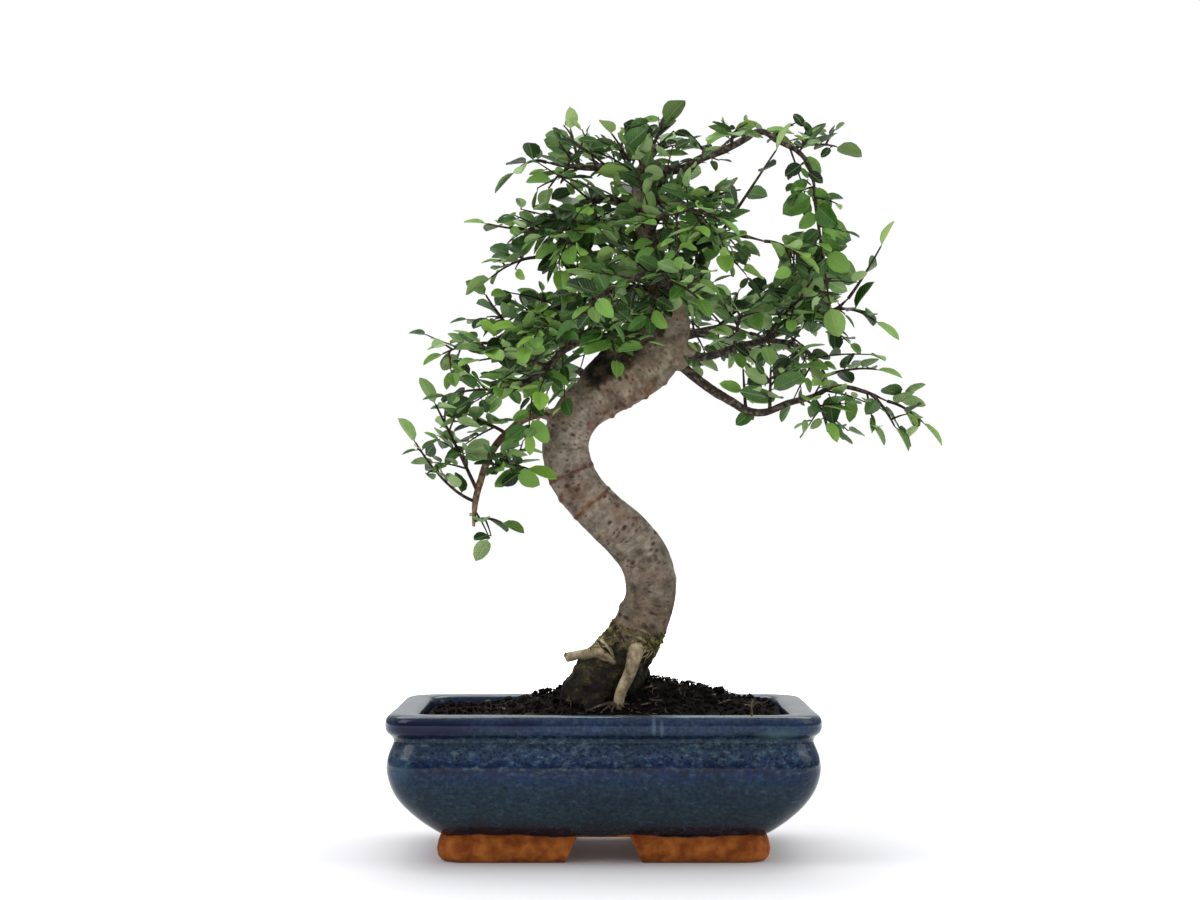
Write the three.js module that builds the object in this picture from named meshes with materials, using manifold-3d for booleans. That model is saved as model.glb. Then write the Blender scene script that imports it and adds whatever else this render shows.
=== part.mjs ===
// A Chinese elm bonsai: an S-curved trunk with its roots and boughs, leafy shoots, the soil it stands in,
// and a rectangular glazed stoneware pot with drain holes, drain meshes and unglazed feet.
// Millimetres, +Z up, the front of the pot towards -Y. Everything is laid out round the pot's centre,
// and the finished group is shifted so that its origin is at the bottom centre of the whole plant.
import * as THREE from "three";
import { mergeVertices } from "three/addons/utils/BufferGeometryUtils.js";
import Module from "manifold-3d";

const wasm = await Module();
wasm.setup();

// Driving dimensions of the pot
const POT_WIDTH = 202;
const POT_DEPTH = 150;
const POT_HEIGHT = 70;
const POT_CORNER = 15;
// How much a corner's radius shrinks for each millimetre that its ring is moved in
const CORNER_SHRINK = 0.175;
const FOOT_HEIGHT = 12;
const FOOT_INSET = 23;
const FOOT_WALL = 10;
const FOOT_NOTCH_TOP = 25;
const FOOT_NOTCH_BOTTOM = 36;
const FLOOR_THICK = 7;
const FLOOR_TOP = FOOT_HEIGHT + FLOOR_THICK;
const DRAIN_RADIUS = 8;
const DRAIN_OFFSET = 38;
const DRAIN_SIDES = 16;
const CORNER_STEPS = 4;

// Inset from the pot's outermost line, and height, going up the outside: base, belly, neck and rolled rim
const POT_OUTSIDE = [
  [25.5, FOOT_HEIGHT], [19.2, 16.3], [12.8, 21.8], [6.4, 28.8], [2.4, 36.2], [0.6, 44.5], [1.2, 50.5],
  [3.7, 56.6], [3.4, 58.8], [0.8, 61.4], [0, 65.2], [0.8, 68.6], [3, POT_HEIGHT],
];
// The same, going up the inside from the floor to the inner edge of the rim
const POT_INSIDE = [
  [34, FLOOR_TOP], [22, 26], [16, 36], [15, 46], [15, 68.4], [12.5, POT_HEIGHT + 1],
];
const FOOT_OUTSIDE = [
  [FOOT_INSET + 4.5, 0], [FOOT_INSET + 1.2, 2.4], [FOOT_INSET, 6], [FOOT_INSET + 1.5, 10.5],
  [FOOT_INSET + 2, FOOT_HEIGHT + 1],
];

// Clearance between two pieces that rest on each other
const GAP = 0.3;

// Drain meshes: a square of plastic net over each hole
const MESH_SIDE = 26;
const MESH_THICK = 1;
const MESH_STRAND = 1.6;
const MESH_OPENINGS = 2;

// Soil: its level at the pot's wall, and the mound round the trunk
const SOIL_EDGE = 65.5;
const SOIL_INSET = 15;
const MOUND = { x: 15, y: 8, height: 17, spreadX: 40, spreadY: 20 };
const SOIL_GRAIN = 1.1;
const SOIL_RINGS = 7;
// How its rings are divided: steps round a corner, and extra points along the long and the short sides
const SOIL_STEPS = [2, 3, 2];

// Trunk: x, y, z and radius up the S-curve, from inside the soil to the apex
const TRUNK = [
  [3, 0, 58, 11], [4, 0, 76, 14.2], [7, 0, 88, 14], [13.5, 0, 100, 13], [20, 0, 113, 12.4],
  [23, 0, 125, 12.3], [20.5, 0, 139, 12.3], [11, 0, 151.5, 12.1], [-2, 0, 163.5, 11.4], [-12, 0, 175, 11.3],
  [-17.5, 0, 187, 11.5], [-18, 0, 199, 11.1], [-13, 0, 210, 11.3], [-2, 0, 219.5, 12], [12, 0, 227, 12],
  [25, 0, 236, 11.2], [32, 0, 248, 9.6], [33, 0, 261, 8.2], [29.5, 1, 275.5, 6.8], [22.5, 1, 292.5, 5.4],
  [18, 0, 311, 4.4], [19, 0, 328, 3.2], [24.5, 0, 342, 2],
];
const TRUNK_SIDES = 12;

// Roots: x, y, z and radius. The first three flare into the soil, then the pale root in front of the trunk,
// and the cut root that lies round its left side.
const ROOTS = [
  [[9, -2, 100, 8], [-4, -5, 88, 8.5], [-13, -7, 76, 7.5], [-20, -8, 62, 5]],
  [[14, 5, 98, 7.5], [16, 12, 86, 6.5], [19, 18, 75, 6], [24, 23, 64, 4]],
  [[6, -5, 94, 7], [0, -12, 82, 6.5], [-5, -18, 71, 5.5], [-8, -22, 60, 4]],
  [[17, -6, 102, 4.4], [15.6, -12.5, 96.5, 4], [12.6, -17.5, 86, 3.6], [8, -20.5, 76, 3.4], [6, -22, 62, 3.2]],
  [[-18, -8, 93, 2.6], [-9, -12.5, 95, 2.5], [-1, -14.5, 94.5, 2.3], [4.5, -14.5, 90, 2], [7, -12.5, 84, 1.8]],
];
const ROOT_SIDES = 8;

// Boughs: centre line, and radius at the two ends. Each starts inside the trunk or the bough that bears it.
const BOUGHS = {
  low_left: {
    radii: [2, 1.6],
    route: [[-15, 0, 209], [-28, -2, 210.5], [-38, -4, 208], [-45.5, -6, 202], [-52, -8, 195], [-56.5, -9, 186],
      [-59.5, -10, 177], [-61.5, -11, 169], [-62.5, -12, 156]],
  },
  mid_left: {
    radii: [2.6, 1],
    route: [[30, -3, 251], [14, -13, 256], [-1.5, -17, 252], [-19, -20, 240], [-30, -22, 229], [-44, -24, 220]],
  },
  left: {
    radii: [2.6, 0.9],
    route: [[31, 2, 270], [12, 7, 272], [-8, 10, 268], [-28, 11, 261], [-45, 10, 252], [-56, 8, 245.5]],
  },
  upper_left: {
    radii: [2.4, 0.9],
    route: [[19, 0, 308], [-2, -4, 315], [-12, -6, 310], [-20, -8, 300], [-28, -8, 293], [-33, -8, 286]],
  },
  top_left: {
    radii: [2, 0.9],
    route: [[18.5, 0, 326], [8, 3, 331.5], [-6, 5, 331], [-20, 5, 332.5], [-28, 6, 334]],
  },
  top_right: {
    radii: [2.4, 0.8],
    route: [[20, 0, 331], [39, -1, 330], [48, -2, 335], [58, -3, 338.5], [68, -4, 343.5], [76, -5, 347.5],
      [84, -6, 343], [96, -8, 335.5], [101, -9, 325], [102, -10, 314]],
  },
  upper_right: {
    radii: [2.2, 0.8],
    route: [[18, -1, 311], [30, -9, 314], [38, -13, 311], [44.5, -16, 306], [51, -18, 299.5], [58, -19, 296.5],
      [67, -20, 295], [77, -20, 292.5]],
  },
  mid_right: {
    radii: [2.3, 0.8],
    route: [[31, 0, 245], [46, 2, 238.5], [56, 3, 240], [65, 4, 243.5], [79, 6, 247], [88, 7, 252], [103, 9, 259],
      [114, 10, 262.5], [120, 10, 267.5]],
  },
  right_fork: {
    radii: [1.4, 0.8],
    route: [[79, 6, 247], [90, 2, 245], [101, -2, 238.5], [108, -4, 229]],
  },
  low_right: {
    radii: [2.5, 0.8],
    route: [[31, -1, 240], [49, -5, 224.5], [62, -8, 216], [70, -10, 211.5], [78, -11, 211], [88, -12, 215],
      [101, -14, 218.5], [110.5, -15, 223], [125.5, -16, 220.5], [136, -17, 216]],
  },
  back_left: {
    radii: [2.8, 0.9],
    route: [[2, 3, 221], [-8, 24, 230], [-19, 44, 237], [-28, 60, 239]],
  },
  back: {
    radii: [2.8, 0.9],
    route: [[32, 3, 262], [30, 28, 271], [24, 50, 276], [18, 66, 275]],
  },
  back_high: {
    radii: [2.2, 0.9],
    route: [[20, 2, 300], [13, 22, 309], [5, 42, 312]],
  },
  back_right: {
    radii: [2.8, 0.9],
    route: [[31, 3, 246], [47, 28, 252], [63, 48, 256], [75, 60, 254]],
  },
  front: {
    radii: [2.6, 0.9],
    route: [[31, -3, 266], [27, -26, 274], [18, -44, 274], [10, -56, 269]],
  },
  front_high: {
    radii: [2.2, 0.9],
    route: [[22, -2, 294], [26, -22, 303], [36, -40, 304]],
  },
};
const BOUGH_SIDES = 6;

// Leafy shoots: the bough that bears it, how far along (0 to 1), the tip, how far its middle arches up,
// and the number of leaves
const SHOOTS = [
  ["low_left", 0.86, [-90, -16, 196], -9, 7],
  ["low_left", 0.8, [-80, -24, 214], 1, 7],
  ["low_left", 0.68, [-37, -20, 184], 4, 6],
  ["low_left", 0.97, [-49, -16, 158], 3, 3],
  ["low_left", 0.42, [-70, -24, 206], 5, 6],
  ["mid_left", 1, [-74, -32, 218], 4, 7],
  ["mid_left", 0.76, [-58, -44, 234], 5, 6],
  ["mid_left", 0.38, [6, -46, 234], 6, 7],
  ["mid_left", 0.5, [-40, -36, 250], 4, 6],
  ["left", 1, [-78, 2, 240], 3, 6],
  ["left", 0.86, [-57, 0, 268], -2, 5],
  ["left", 0.62, [-48, 34, 258], 5, 7],
  ["left", 0.4, [-18, 38, 262], 5, 6],
  ["upper_left", 0.72, [-56, -10, 302], -3, 6],
  ["upper_left", 1, [-54, -12, 276], 4, 6],
  ["upper_left", 0.5, [-34, 20, 300], 5, 6],
  ["upper_left", 0.6, [-16, -38, 288], 6, 6],
  ["top_left", 1, [-43, 1, 329], 5, 5],
  ["top_left", 0.66, [-16, 7, 350], 0, 6],
  ["top_left", 0.7, [-26, -22, 318], 5, 6],
  ["trunk", 1, [29, -3, 352], 0, 4],
  ["trunk", 0.93, [4, -20, 344], 4, 6],
  ["trunk", 0.95, [30, 24, 345], 4, 6],
  ["top_right", 1, [109, -12, 262], 0, 9],
  ["top_right", 0.73, [113, 0, 341], 3, 4],
  ["top_right", 0.55, [82, 12, 347], 2, 5],
  ["top_right", 0.42, [62, -24, 344], 4, 6],
  ["top_right", 0.28, [50, 22, 344], 4, 5],
  ["upper_right", 0.7, [82, -25, 335], 0, 4],
  ["upper_right", 1, [93, -22, 286], 3, 6],
  ["upper_right", 0.55, [56, -44, 284], 5, 7],
  ["upper_right", 0.4, [66, -14, 318], 3, 5],
  ["mid_right", 1, [136, 10, 293], -2, 3],
  ["mid_right", 0.9, [132, 0, 256], 5, 6],
  ["mid_right", 0.66, [106, 12, 292], 0, 6],
  ["mid_right", 0.52, [96, -16, 266], 4, 7],
  ["mid_right", 0.36, [66, -26, 258], 6, 7],
  ["mid_right", 0.72, [112, 32, 256], 5, 6],
  ["right_fork", 1, [132, -4, 232], 3, 7],
  ["low_right", 1, [152, -22, 206], 3, 4],
  ["low_right", 0.68, [106, -26, 206], 3, 4],
  ["low_right", 0.5, [80, -20, 232], 2, 5],
  ["low_right", 0.4, [68, 2, 232], -2, 4],
  ["low_right", 0.93, [138, -28, 204], 3, 4],
  ["back_left", 1, [-42, 78, 232], 4, 7],
  ["back_left", 0.62, [-44, 46, 226], 5, 6],
  ["back", 1, [6, 84, 264], 5, 7],
  ["back", 0.6, [-8, 54, 290], 5, 6],
  ["back_high", 1, [-12, 58, 306], 5, 7],
  ["back_high", 0.6, [34, 48, 320], 5, 6],
  ["back_right", 1, [90, 76, 244], 5, 7],
  ["back_right", 0.6, [84, 40, 272], 5, 7],
  ["front", 1, [-6, -70, 258], 4, 7],
  ["front", 0.6, [44, -56, 262], 5, 7],
  ["front_high", 1, [52, -56, 300], 4, 6],
];
const STEM_RADII = [1.3, 0.95];
const STEM_SIDES = 3;
const LEAVES_A_STEP = 1.6;
const FIRST_LEAF = 0.2;
// A stem starts at the first share of its line, counted up in these steps, where it is outside the wood
const START_STEP = 0.005;
// A shoot that climbs or hangs more steeply than this takes its upper side from the back of the plant
const STEEP = 0.9;
// Room between a stem and wood, and between the centre lines of two stems
const STEM_ROOM = 1.7;
const STEM_SPACE = 3.2;
// Where a stem would touch something, its middle is moved aside by the first of these that clears it
const STEM_SHIFTS = [
  [0, 0, 0], [0, -5, 0], [0, 5, 0], [0, 0, 5], [0, 0, -5], [5, 0, 0], [-5, 0, 0], [0, -9, 4], [0, 9, 4],
  [0, -9, -6], [0, 9, -6], [9, 0, 4], [-9, 0, 4], [0, -14, 8], [0, 14, 8],
];

// Leaves: a pointed oval with a tooth cut in each edge, folded up along the midrib
const LEAF_LENGTH = 15;
const LEAF_SLIMNESS = 0.54;
const LEAF_THICK = 0.7;
const LEAF_FOLD = 0.14;
const LEAF_DROOP = 0.06;
// Share of the length, and share of the full width, of the points on each edge: shoulder, notch and tooth
const LEAF_EDGE = [[0.34, 0.5], [0.54, 0.38], [0.66, 0.44]];
const LEAF_STALK = 0.4;
const LEAF_TRIES = 12;
// Least room between the middles of two leaves, and between a leaf and wood or a stem
const LEAF_CLEARANCE = 0.9;
const LEAF_ROOM = 0.8;
// Leaves whose middles are further apart than half their lengths and this can't meet
const LEAF_REACH = 2;
// Shares of a leaf's length past which it keeps off its stem, and off the face of the stem that it stands on
const STEM_CLEAR_FROM = 0.06;
const OWN_FACE_CLEAR_FROM = 0.16;
// A leaf's outline for the tests of what it meets, a little outside the blade: half width of its foot, two
// pairs of points on its edges and its tip, as shares of its length and width
const PLATE_FOOT = 0.06;
const PLATE_EDGE = [[0.34, 0.55], [0.67, 0.49]];
const PLATE_TIP = 1.03;
// How a leaf is laid. Angles are in degrees, and each pair is a base value and what a draw adds to it.
const LEAF_LAY = {
  roll: [-28, 80],
  rollEachTry: 16,
  spread: [56, 22],
  spreadAtEnd: 10,
  sag: [0.05, 0.25],
  liftEachTry: 0.04,
  tilt: [-35, 70],
  size: [0.82, 0.4],
  shorterTowardsTip: 0.12,
  girth: [0.9, 0.25],
};
// Each stem's leaves draw their chances from a run of this many numbers
const SEEDS_A_STEM = 40;
// Where a leaf stands within its own stretch of the stem, and the shares of a segment that feet keep to
const LEAF_PLACE = 0.4;
const SEGMENT_KEEP = [0.2, 0.8];
// Half the size of a leaf's foot along and across a face of the stem, and on the stem's end
const FOOT_HALF_LENGTH = 0.45;
const FOOT_HALF_WIDTH = 0.35;
const END_FOOT = 0.26;

const DEGREE = Math.PI / 180;
const TINY = 1e-9;
const FRONT = new THREE.Vector3(0, -1, 0);

const vector = (point) => new THREE.Vector3(point[0], point[1], point[2]);

// A number from 0 to 1 that looks random and is always the same for the same two whole numbers.
function draw(a, b) {
  const wave = Math.sin(a * 12.9898 + b * 78.233) * 43758.5453;
  return wave - Math.floor(wave);
}

// A base value with a drawn share of a spread added to it.
const vary = ([base, spread], a, b) => base + spread * draw(a, b);

// A closed geometry as a solid that can be joined and cut.
function solidOf(geometry) {
  const bare = new THREE.BufferGeometry().setAttribute("position", geometry.getAttribute("position"));
  bare.setIndex(geometry.getIndex());
  const merged = mergeVertices(bare, 1e-4);
  return new wasm.Manifold(
    new wasm.Mesh({
      numProp: 3,
      vertProperties: new Float32Array(merged.attributes.position.array),
      triVerts: new Uint32Array(merged.index.array),
    }),
  );
}

// A solid as a geometry again.
function geometryOf(solid) {
  const mesh = solid.getMesh();
  return new THREE.BufferGeometry()
    .setAttribute("position", new THREE.BufferAttribute(new Float32Array(mesh.vertProperties), 3))
    .setIndex(new THREE.BufferAttribute(new Uint32Array(mesh.triVerts), 1));
}

// The largest body of a solid: what a cut leaves loose is dropped.
function largest(solid) {
  return solid.decompose().reduce((best, body) => (body.volume() > best.volume() ? body : best));
}

// Several solids as one.
function joined(solids) {
  return solids.reduce((whole, solid) => whole.add(solid));
}

// A closed skin over rings of points that all have the same number, with a flat fan over each end.
function loft(rings) {
  const count = rings[0].length;
  const positions = rings.flat().flatMap((point) => [point.x, point.y, point.z]);
  const faces = [];
  for (let r = 0; r + 1 < rings.length; r++)
    for (let i = 0; i < count; i++) {
      const a = r * count + i;
      const b = r * count + ((i + 1) % count);
      faces.push(a, b, b + count, a, b + count, a + count);
    }
  const last = (rings.length - 1) * count;
  for (let i = 1; i + 1 < count; i++) faces.push(0, i + 1, i, last, last + i, last + i + 1);
  return new THREE.BufferGeometry()
    .setAttribute("position", new THREE.BufferAttribute(new Float32Array(positions), 3))
    .setIndex(faces);
}

// Directions at each corner of a line of points: along it, and two across it that turn as little as they can.
function framesAlong(corners, across) {
  let side = across.clone();
  return corners.map((corner, i) => {
    const before = corners[Math.max(i - 1, 0)];
    const after = corners[Math.min(i + 1, corners.length - 1)];
    const along = after.clone().sub(corner).normalize().add(corner.clone().sub(before).normalize()).normalize();
    side = side.clone().addScaledVector(along, -side.dot(along)).normalize();
    return { along, side, other: along.clone().cross(side) };
  });
}

// A ring of evenly spaced corners round a centre.
function ringAt(centre, frame, radius, sides) {
  return Array.from({ length: sides }, (_, i) => {
    const turn = (2 * Math.PI * i) / sides;
    return centre
      .clone()
      .addScaledVector(frame.side, radius * Math.cos(turn))
      .addScaledVector(frame.other, radius * Math.sin(turn));
  });
}

// A tapered round bar through points of x, y, z and radius, made thicker and longer by grow.
function bar(points, sides, grow = 0) {
  const corners = points.map(vector);
  const frames = framesAlong(corners, FRONT);
  if (grow) {
    corners[0].addScaledVector(frames[0].along, -grow);
    corners.at(-1).addScaledVector(frames.at(-1).along, grow);
  }
  return solidOf(loft(corners.map((corner, i) => ringAt(corner, frames[i], points[i][3] + grow, sides))));
}

// A level ring in the pot's outline, moved in by inset. Each corner is split into cornerSteps, and each side
// has a number of extra points evenly along it: sideX along X and sideY along Y.
function potRing(inset, z, cornerSteps = CORNER_STEPS, sideX = 0, sideY = 0) {
  const halfX = POT_WIDTH / 2 - inset;
  const halfY = POT_DEPTH / 2 - inset;
  const corner = POT_CORNER - inset * CORNER_SHRINK;
  const ring = [];
  for (let quarter = 0; quarter < 4; quarter++) {
    const signX = quarter === 0 || quarter === 3 ? 1 : -1;
    const signY = quarter < 2 ? 1 : -1;
    const centreX = signX * (halfX - corner);
    const centreY = signY * (halfY - corner);
    for (let i = 0; i <= cornerSteps; i++) {
      const turn = (quarter + i / cornerSteps) * 90 * DEGREE;
      ring.push(new THREE.Vector3(centreX + corner * Math.cos(turn), centreY + corner * Math.sin(turn), z));
    }
    const alongX = quarter % 2 === 0;
    const extra = alongX ? sideX : sideY;
    for (let i = 1; i <= extra; i++) {
      const share = 1 - (2 * i) / (extra + 1);
      ring.push(
        alongX
          ? new THREE.Vector3(centreX * share, signY * halfY, z)
          : new THREE.Vector3(signX * halfX, centreY * share, z),
      );
    }
  }
  return ring;
}

// A solid in the pot's outline with the inset and height of each station of a profile.
const potLoft = (profile) => solidOf(loft(profile.map(([inset, z]) => potRing(inset, z))));

// An upright cylinder through the pot's floor.
function drainHole(x) {
  const low = FOOT_HEIGHT - 2;
  const high = FLOOR_TOP + 1;
  const cylinder = new THREE.CylinderGeometry(DRAIN_RADIUS, DRAIN_RADIUS, high - low, DRAIN_SIDES);
  cylinder.rotateX(90 * DEGREE).translate(x, 0, (low + high) / 2);
  return solidOf(cylinder);
}

// A trapezium, wide at the bottom, that runs right through the foot along Y or X.
function footNotch(turn) {
  const low = -1;
  const slope = (FOOT_NOTCH_BOTTOM - FOOT_NOTCH_TOP) / 2 / FOOT_HEIGHT;
  const outline = new THREE.Shape([
    new THREE.Vector2(-FOOT_NOTCH_BOTTOM / 2 + slope * low, low),
    new THREE.Vector2(FOOT_NOTCH_BOTTOM / 2 - slope * low, low),
    new THREE.Vector2(FOOT_NOTCH_TOP / 2, FOOT_HEIGHT),
    new THREE.Vector2(-FOOT_NOTCH_TOP / 2, FOOT_HEIGHT),
  ]);
  const prism = new THREE.ExtrudeGeometry(outline, { depth: POT_WIDTH, bevelEnabled: false });
  prism.translate(0, 0, -POT_WIDTH / 2).rotateX(90 * DEGREE).rotateZ(turn);
  return solidOf(prism);
}

// The pot is one fired piece: body, hollow inside, drain holes, and a foot wall cut into four feet.
function makePot() {
  const footInner = FOOT_INSET + FOOT_WALL;
  const foot = potLoft(FOOT_OUTSIDE)
    .subtract(potLoft([[footInner, -1], [footInner, FOOT_HEIGHT]]))
    .subtract(footNotch(0))
    .subtract(footNotch(90 * DEGREE));
  return potLoft(POT_OUTSIDE)
    .subtract(potLoft(POT_INSIDE))
    .add(foot)
    .subtract(drainHole(-DRAIN_OFFSET))
    .subtract(drainHole(DRAIN_OFFSET));
}

// A square net lying on the floor over one drain hole: a sheet with rows of square openings.
function makeDrainMesh(x) {
  const pitch = (MESH_SIDE - MESH_STRAND) / MESH_OPENINGS;
  const opening = new THREE.BoxGeometry(pitch - MESH_STRAND, pitch - MESH_STRAND, 2 * MESH_THICK);
  let net = solidOf(new THREE.BoxGeometry(MESH_SIDE, MESH_SIDE, MESH_THICK));
  for (let i = 0; i < MESH_OPENINGS; i++)
    for (let j = 0; j < MESH_OPENINGS; j++) {
      const middle = (MESH_OPENINGS - 1) / 2;
      net = net.subtract(solidOf(opening.clone().translate((i - middle) * pitch, (j - middle) * pitch, 0)));
    }
  return net.translate(x, 0, FLOOR_TOP + GAP + MESH_THICK / 2);
}

// Height of the soil at a place: level at the wall, mounded round the trunk, with small grains.
function soilHeight(x, y, grain) {
  const acrossX = (x - MOUND.x) / MOUND.spreadX;
  const acrossY = (y - MOUND.y) / MOUND.spreadY;
  return SOIL_EDGE + MOUND.height * Math.exp(-(acrossX ** 2 + acrossY ** 2) / 2) + grain;
}

// Soil fills the pot from the floor to its mounded top, with holes for the roots and room for the meshes.
function makeSoil(stems) {
  const ringAtInset = (inset, z) => potRing(inset + GAP, z + GAP, ...SOIL_STEPS);
  const rings = POT_INSIDE.filter(([, z]) => z < SOIL_EDGE).map(([inset, z]) => ringAtInset(inset, z));
  const edge = ringAtInset(SOIL_INSET, SOIL_EDGE);
  for (let r = 0; r < SOIL_RINGS; r++) {
    const share = 1 - r / SOIL_RINGS;
    rings.push(
      edge.map((point, i) => {
        const x = point.x * share + MOUND.x * (1 - share);
        const y = point.y * share;
        return new THREE.Vector3(x, y, soilHeight(x, y, r ? SOIL_GRAIN * (2 * draw(i, r) - 1) : 0));
      }),
    );
  }
  const room = new THREE.BoxGeometry(MESH_SIDE + 2 * GAP, MESH_SIDE + 2 * GAP, 2 * (MESH_THICK + 2 * GAP));
  let soil = solidOf(loft(rings));
  for (const x of [-DRAIN_OFFSET, DRAIN_OFFSET])
    soil = soil.subtract(solidOf(room.clone().translate(x, 0, FLOOR_TOP)));
  return largest(stems.reduce((left, stem) => left.subtract(stem), soil));
}

// A route with a radius added to each point, changing evenly from the first to the last.
function withRadii({ radii, route }) {
  return route.map((point, i) => [...point, THREE.MathUtils.lerp(radii[0], radii[1], i / (route.length - 1))]);
}

// Points of x, y, z and radius for the trunk and each bough, by name.
const woodRoutes = { trunk: TRUNK };
for (const [name, bough] of Object.entries(BOUGHS)) woodRoutes[name] = withRadii(bough);

// Bars of the trunk and roots, made thicker by grow.
function baseBars(grow) {
  return [bar(TRUNK, TRUNK_SIDES, grow), ...ROOTS.map((root) => bar(root, ROOT_SIDES, grow))];
}

// Trunk, roots and boughs, grown together.
function makeWood() {
  const boughs = Object.keys(BOUGHS).map((name) => bar(woodRoutes[name], BOUGH_SIDES));
  return largest(joined([...baseBars(0), ...boughs]));
}

// The place at a share of the way along a route.
function placeAlong(route, share) {
  const corners = route.map(vector);
  const lengths = corners.slice(1).map((corner, i) => corner.distanceTo(corners[i]));
  let left = share * lengths.reduce((sum, length) => sum + length, 0);
  for (let i = 0; i < lengths.length; i++) {
    if (left <= lengths[i] || i === lengths.length - 1)
      return corners[i].clone().lerp(corners[i + 1], Math.min(left / lengths[i], 1));
    left -= lengths[i];
  }
}

// Straight pieces of the trunk and every bough, with the radius at their two ends.
const woodPieces = Object.entries(woodRoutes).flatMap(([member, route]) =>
  route.slice(1).map((end, i) => ({
    member,
    a: vector(route[i]),
    b: vector(end),
    radii: [route[i][3], end[3]],
  })),
);

// The shortest distance between two straight pieces, and how far along the second one it is met.
function nearest(a, b, c, d) {
  const first = b.clone().sub(a);
  const second = d.clone().sub(c);
  const between = a.clone().sub(c);
  const ff = first.lengthSq();
  const ss = second.lengthSq();
  const fs = first.dot(second);
  const fb = first.dot(between);
  const sb = second.dot(between);
  const spread = ff * ss - fs * fs;
  let s = spread > TINY ? THREE.MathUtils.clamp((fs * sb - fb * ss) / spread, 0, 1) : 0;
  const t = THREE.MathUtils.clamp((fs * s + sb) / ss, 0, 1);
  if (ff > 0) s = THREE.MathUtils.clamp((fs * t - fb) / ff, 0, 1);
  return { distance: a.clone().addScaledVector(first, s).distanceTo(c.clone().addScaledVector(second, t)), t };
}

// How far the line from a to b stays clear of a woody piece's surface.
function woodRoom(a, b, wood) {
  const { distance, t } = nearest(a, b, wood.a, wood.b);
  return distance - THREE.MathUtils.lerp(wood.radii[0], wood.radii[1], t);
}

// How far a point lies outside a woody piece taken as a bar with flat ends.
function pointRoom(point, wood) {
  const axis = wood.b.clone().sub(wood.a);
  const length = axis.length();
  axis.normalize();
  const out = point.clone().sub(wood.a);
  const along = out.dot(axis);
  const aside = out.addScaledVector(axis, -along).length();
  const share = THREE.MathUtils.clamp(along / length, 0, 1);
  return Math.max(along - length, -along, aside - THREE.MathUtils.lerp(wood.radii[0], wood.radii[1], share));
}

// A stem's corners and rings, from just outside the wood that bears it to its tip.
function layStem(line, leaves) {
  const chord = line.getPoint(1).sub(line.getPoint(0)).normalize();
  const reference = Math.abs(chord.z) > STEEP ? FRONT.clone().negate() : new THREE.Vector3(0, 0, 1);
  const above = reference.addScaledVector(chord, -reference.dot(chord)).normalize();
  const radiusAt = (share) => THREE.MathUtils.lerp(STEM_RADII[0], STEM_RADII[1], share);
  const steps = Math.ceil(leaves / LEAVES_A_STEP);
  // The end face of a stem that starts at this share of the line: its centre, corners and middles of its sides
  const clears = (share) => {
    const start = line.getPoint(share);
    const [frame] = framesAlong([start, line.getPoint(THREE.MathUtils.lerp(share, 1, 1 / steps))], above);
    const ring = ringAt(start, frame, radiusAt(share), STEM_SIDES);
    const middles = ring.map((corner, i) => corner.clone().lerp(ring[(i + 1) % STEM_SIDES], 0.5));
    return [start, ...ring, ...middles].every((point) => woodPieces.every((wood) => pointRoom(point, wood) > GAP));
  };
  let from = 0;
  while (from < FIRST_LEAF && !clears(from)) from += START_STEP;
  const shares = Array.from({ length: steps + 1 }, (_, i) => THREE.MathUtils.lerp(from, 1, i / steps));
  const corners = shares.map((share) => line.getPoint(share));
  const frames = framesAlong(corners, above);
  const rings = corners.map((corner, i) => ringAt(corner, frames[i], radiusAt(shares[i]), STEM_SIDES));
  const pieces = corners.slice(1).map((corner, i) => ({ a: corners[i], b: corner }));
  return { from, steps, corners, frames, rings, pieces };
}

// Whether a stem keeps clear of earlier stems, and of all wood but the bough or trunk that it springs from.
function stemIsClear(stem, stems) {
  return stem.pieces.every(
    ({ a, b }, i) =>
      woodPieces.every((wood) => (i === 0 && wood.member === stem.member) || woodRoom(a, b, wood) > STEM_ROOM) &&
      stems.every((other) => other.pieces.every((piece) => nearest(a, b, piece.a, piece.b).distance > STEM_SPACE)),
  );
}

// The stems of all shoots. One that would touch something has its middle moved aside.
function layStems() {
  const stems = [];
  SHOOTS.forEach(([member, share, tip, arch, leaves], number) => {
    const start = placeAlong(woodRoutes[member], share);
    const end = vector(tip);
    const candidates = STEM_SHIFTS.map((shift) => {
      const middle = start.clone().lerp(end, 0.5).add(vector(shift));
      middle.z += arch;
      const line = new THREE.QuadraticBezierCurve3(start, middle, end);
      return { member, number, leaves, ...layStem(line, leaves) };
    });
    stems.push(candidates.find((candidate) => stemIsClear(candidate, stems)) ?? candidates[0]);
  });
  return stems;
}

// Whether the piece from p to q passes through a triangle.
function crossesTriangle(p, q, [a, b, c]) {
  const along = q.clone().sub(p);
  const ab = b.clone().sub(a);
  const ac = c.clone().sub(a);
  const side = along.clone().cross(ac);
  const turn = ab.dot(side);
  if (Math.abs(turn) < TINY) return false;
  const from = p.clone().sub(a);
  const u = from.dot(side) / turn;
  const cross = from.cross(ab);
  const v = along.dot(cross) / turn;
  const t = ac.dot(cross) / turn;
  return u >= 0 && v >= 0 && u + v <= 1 && t >= 0 && t <= 1;
}

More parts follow.
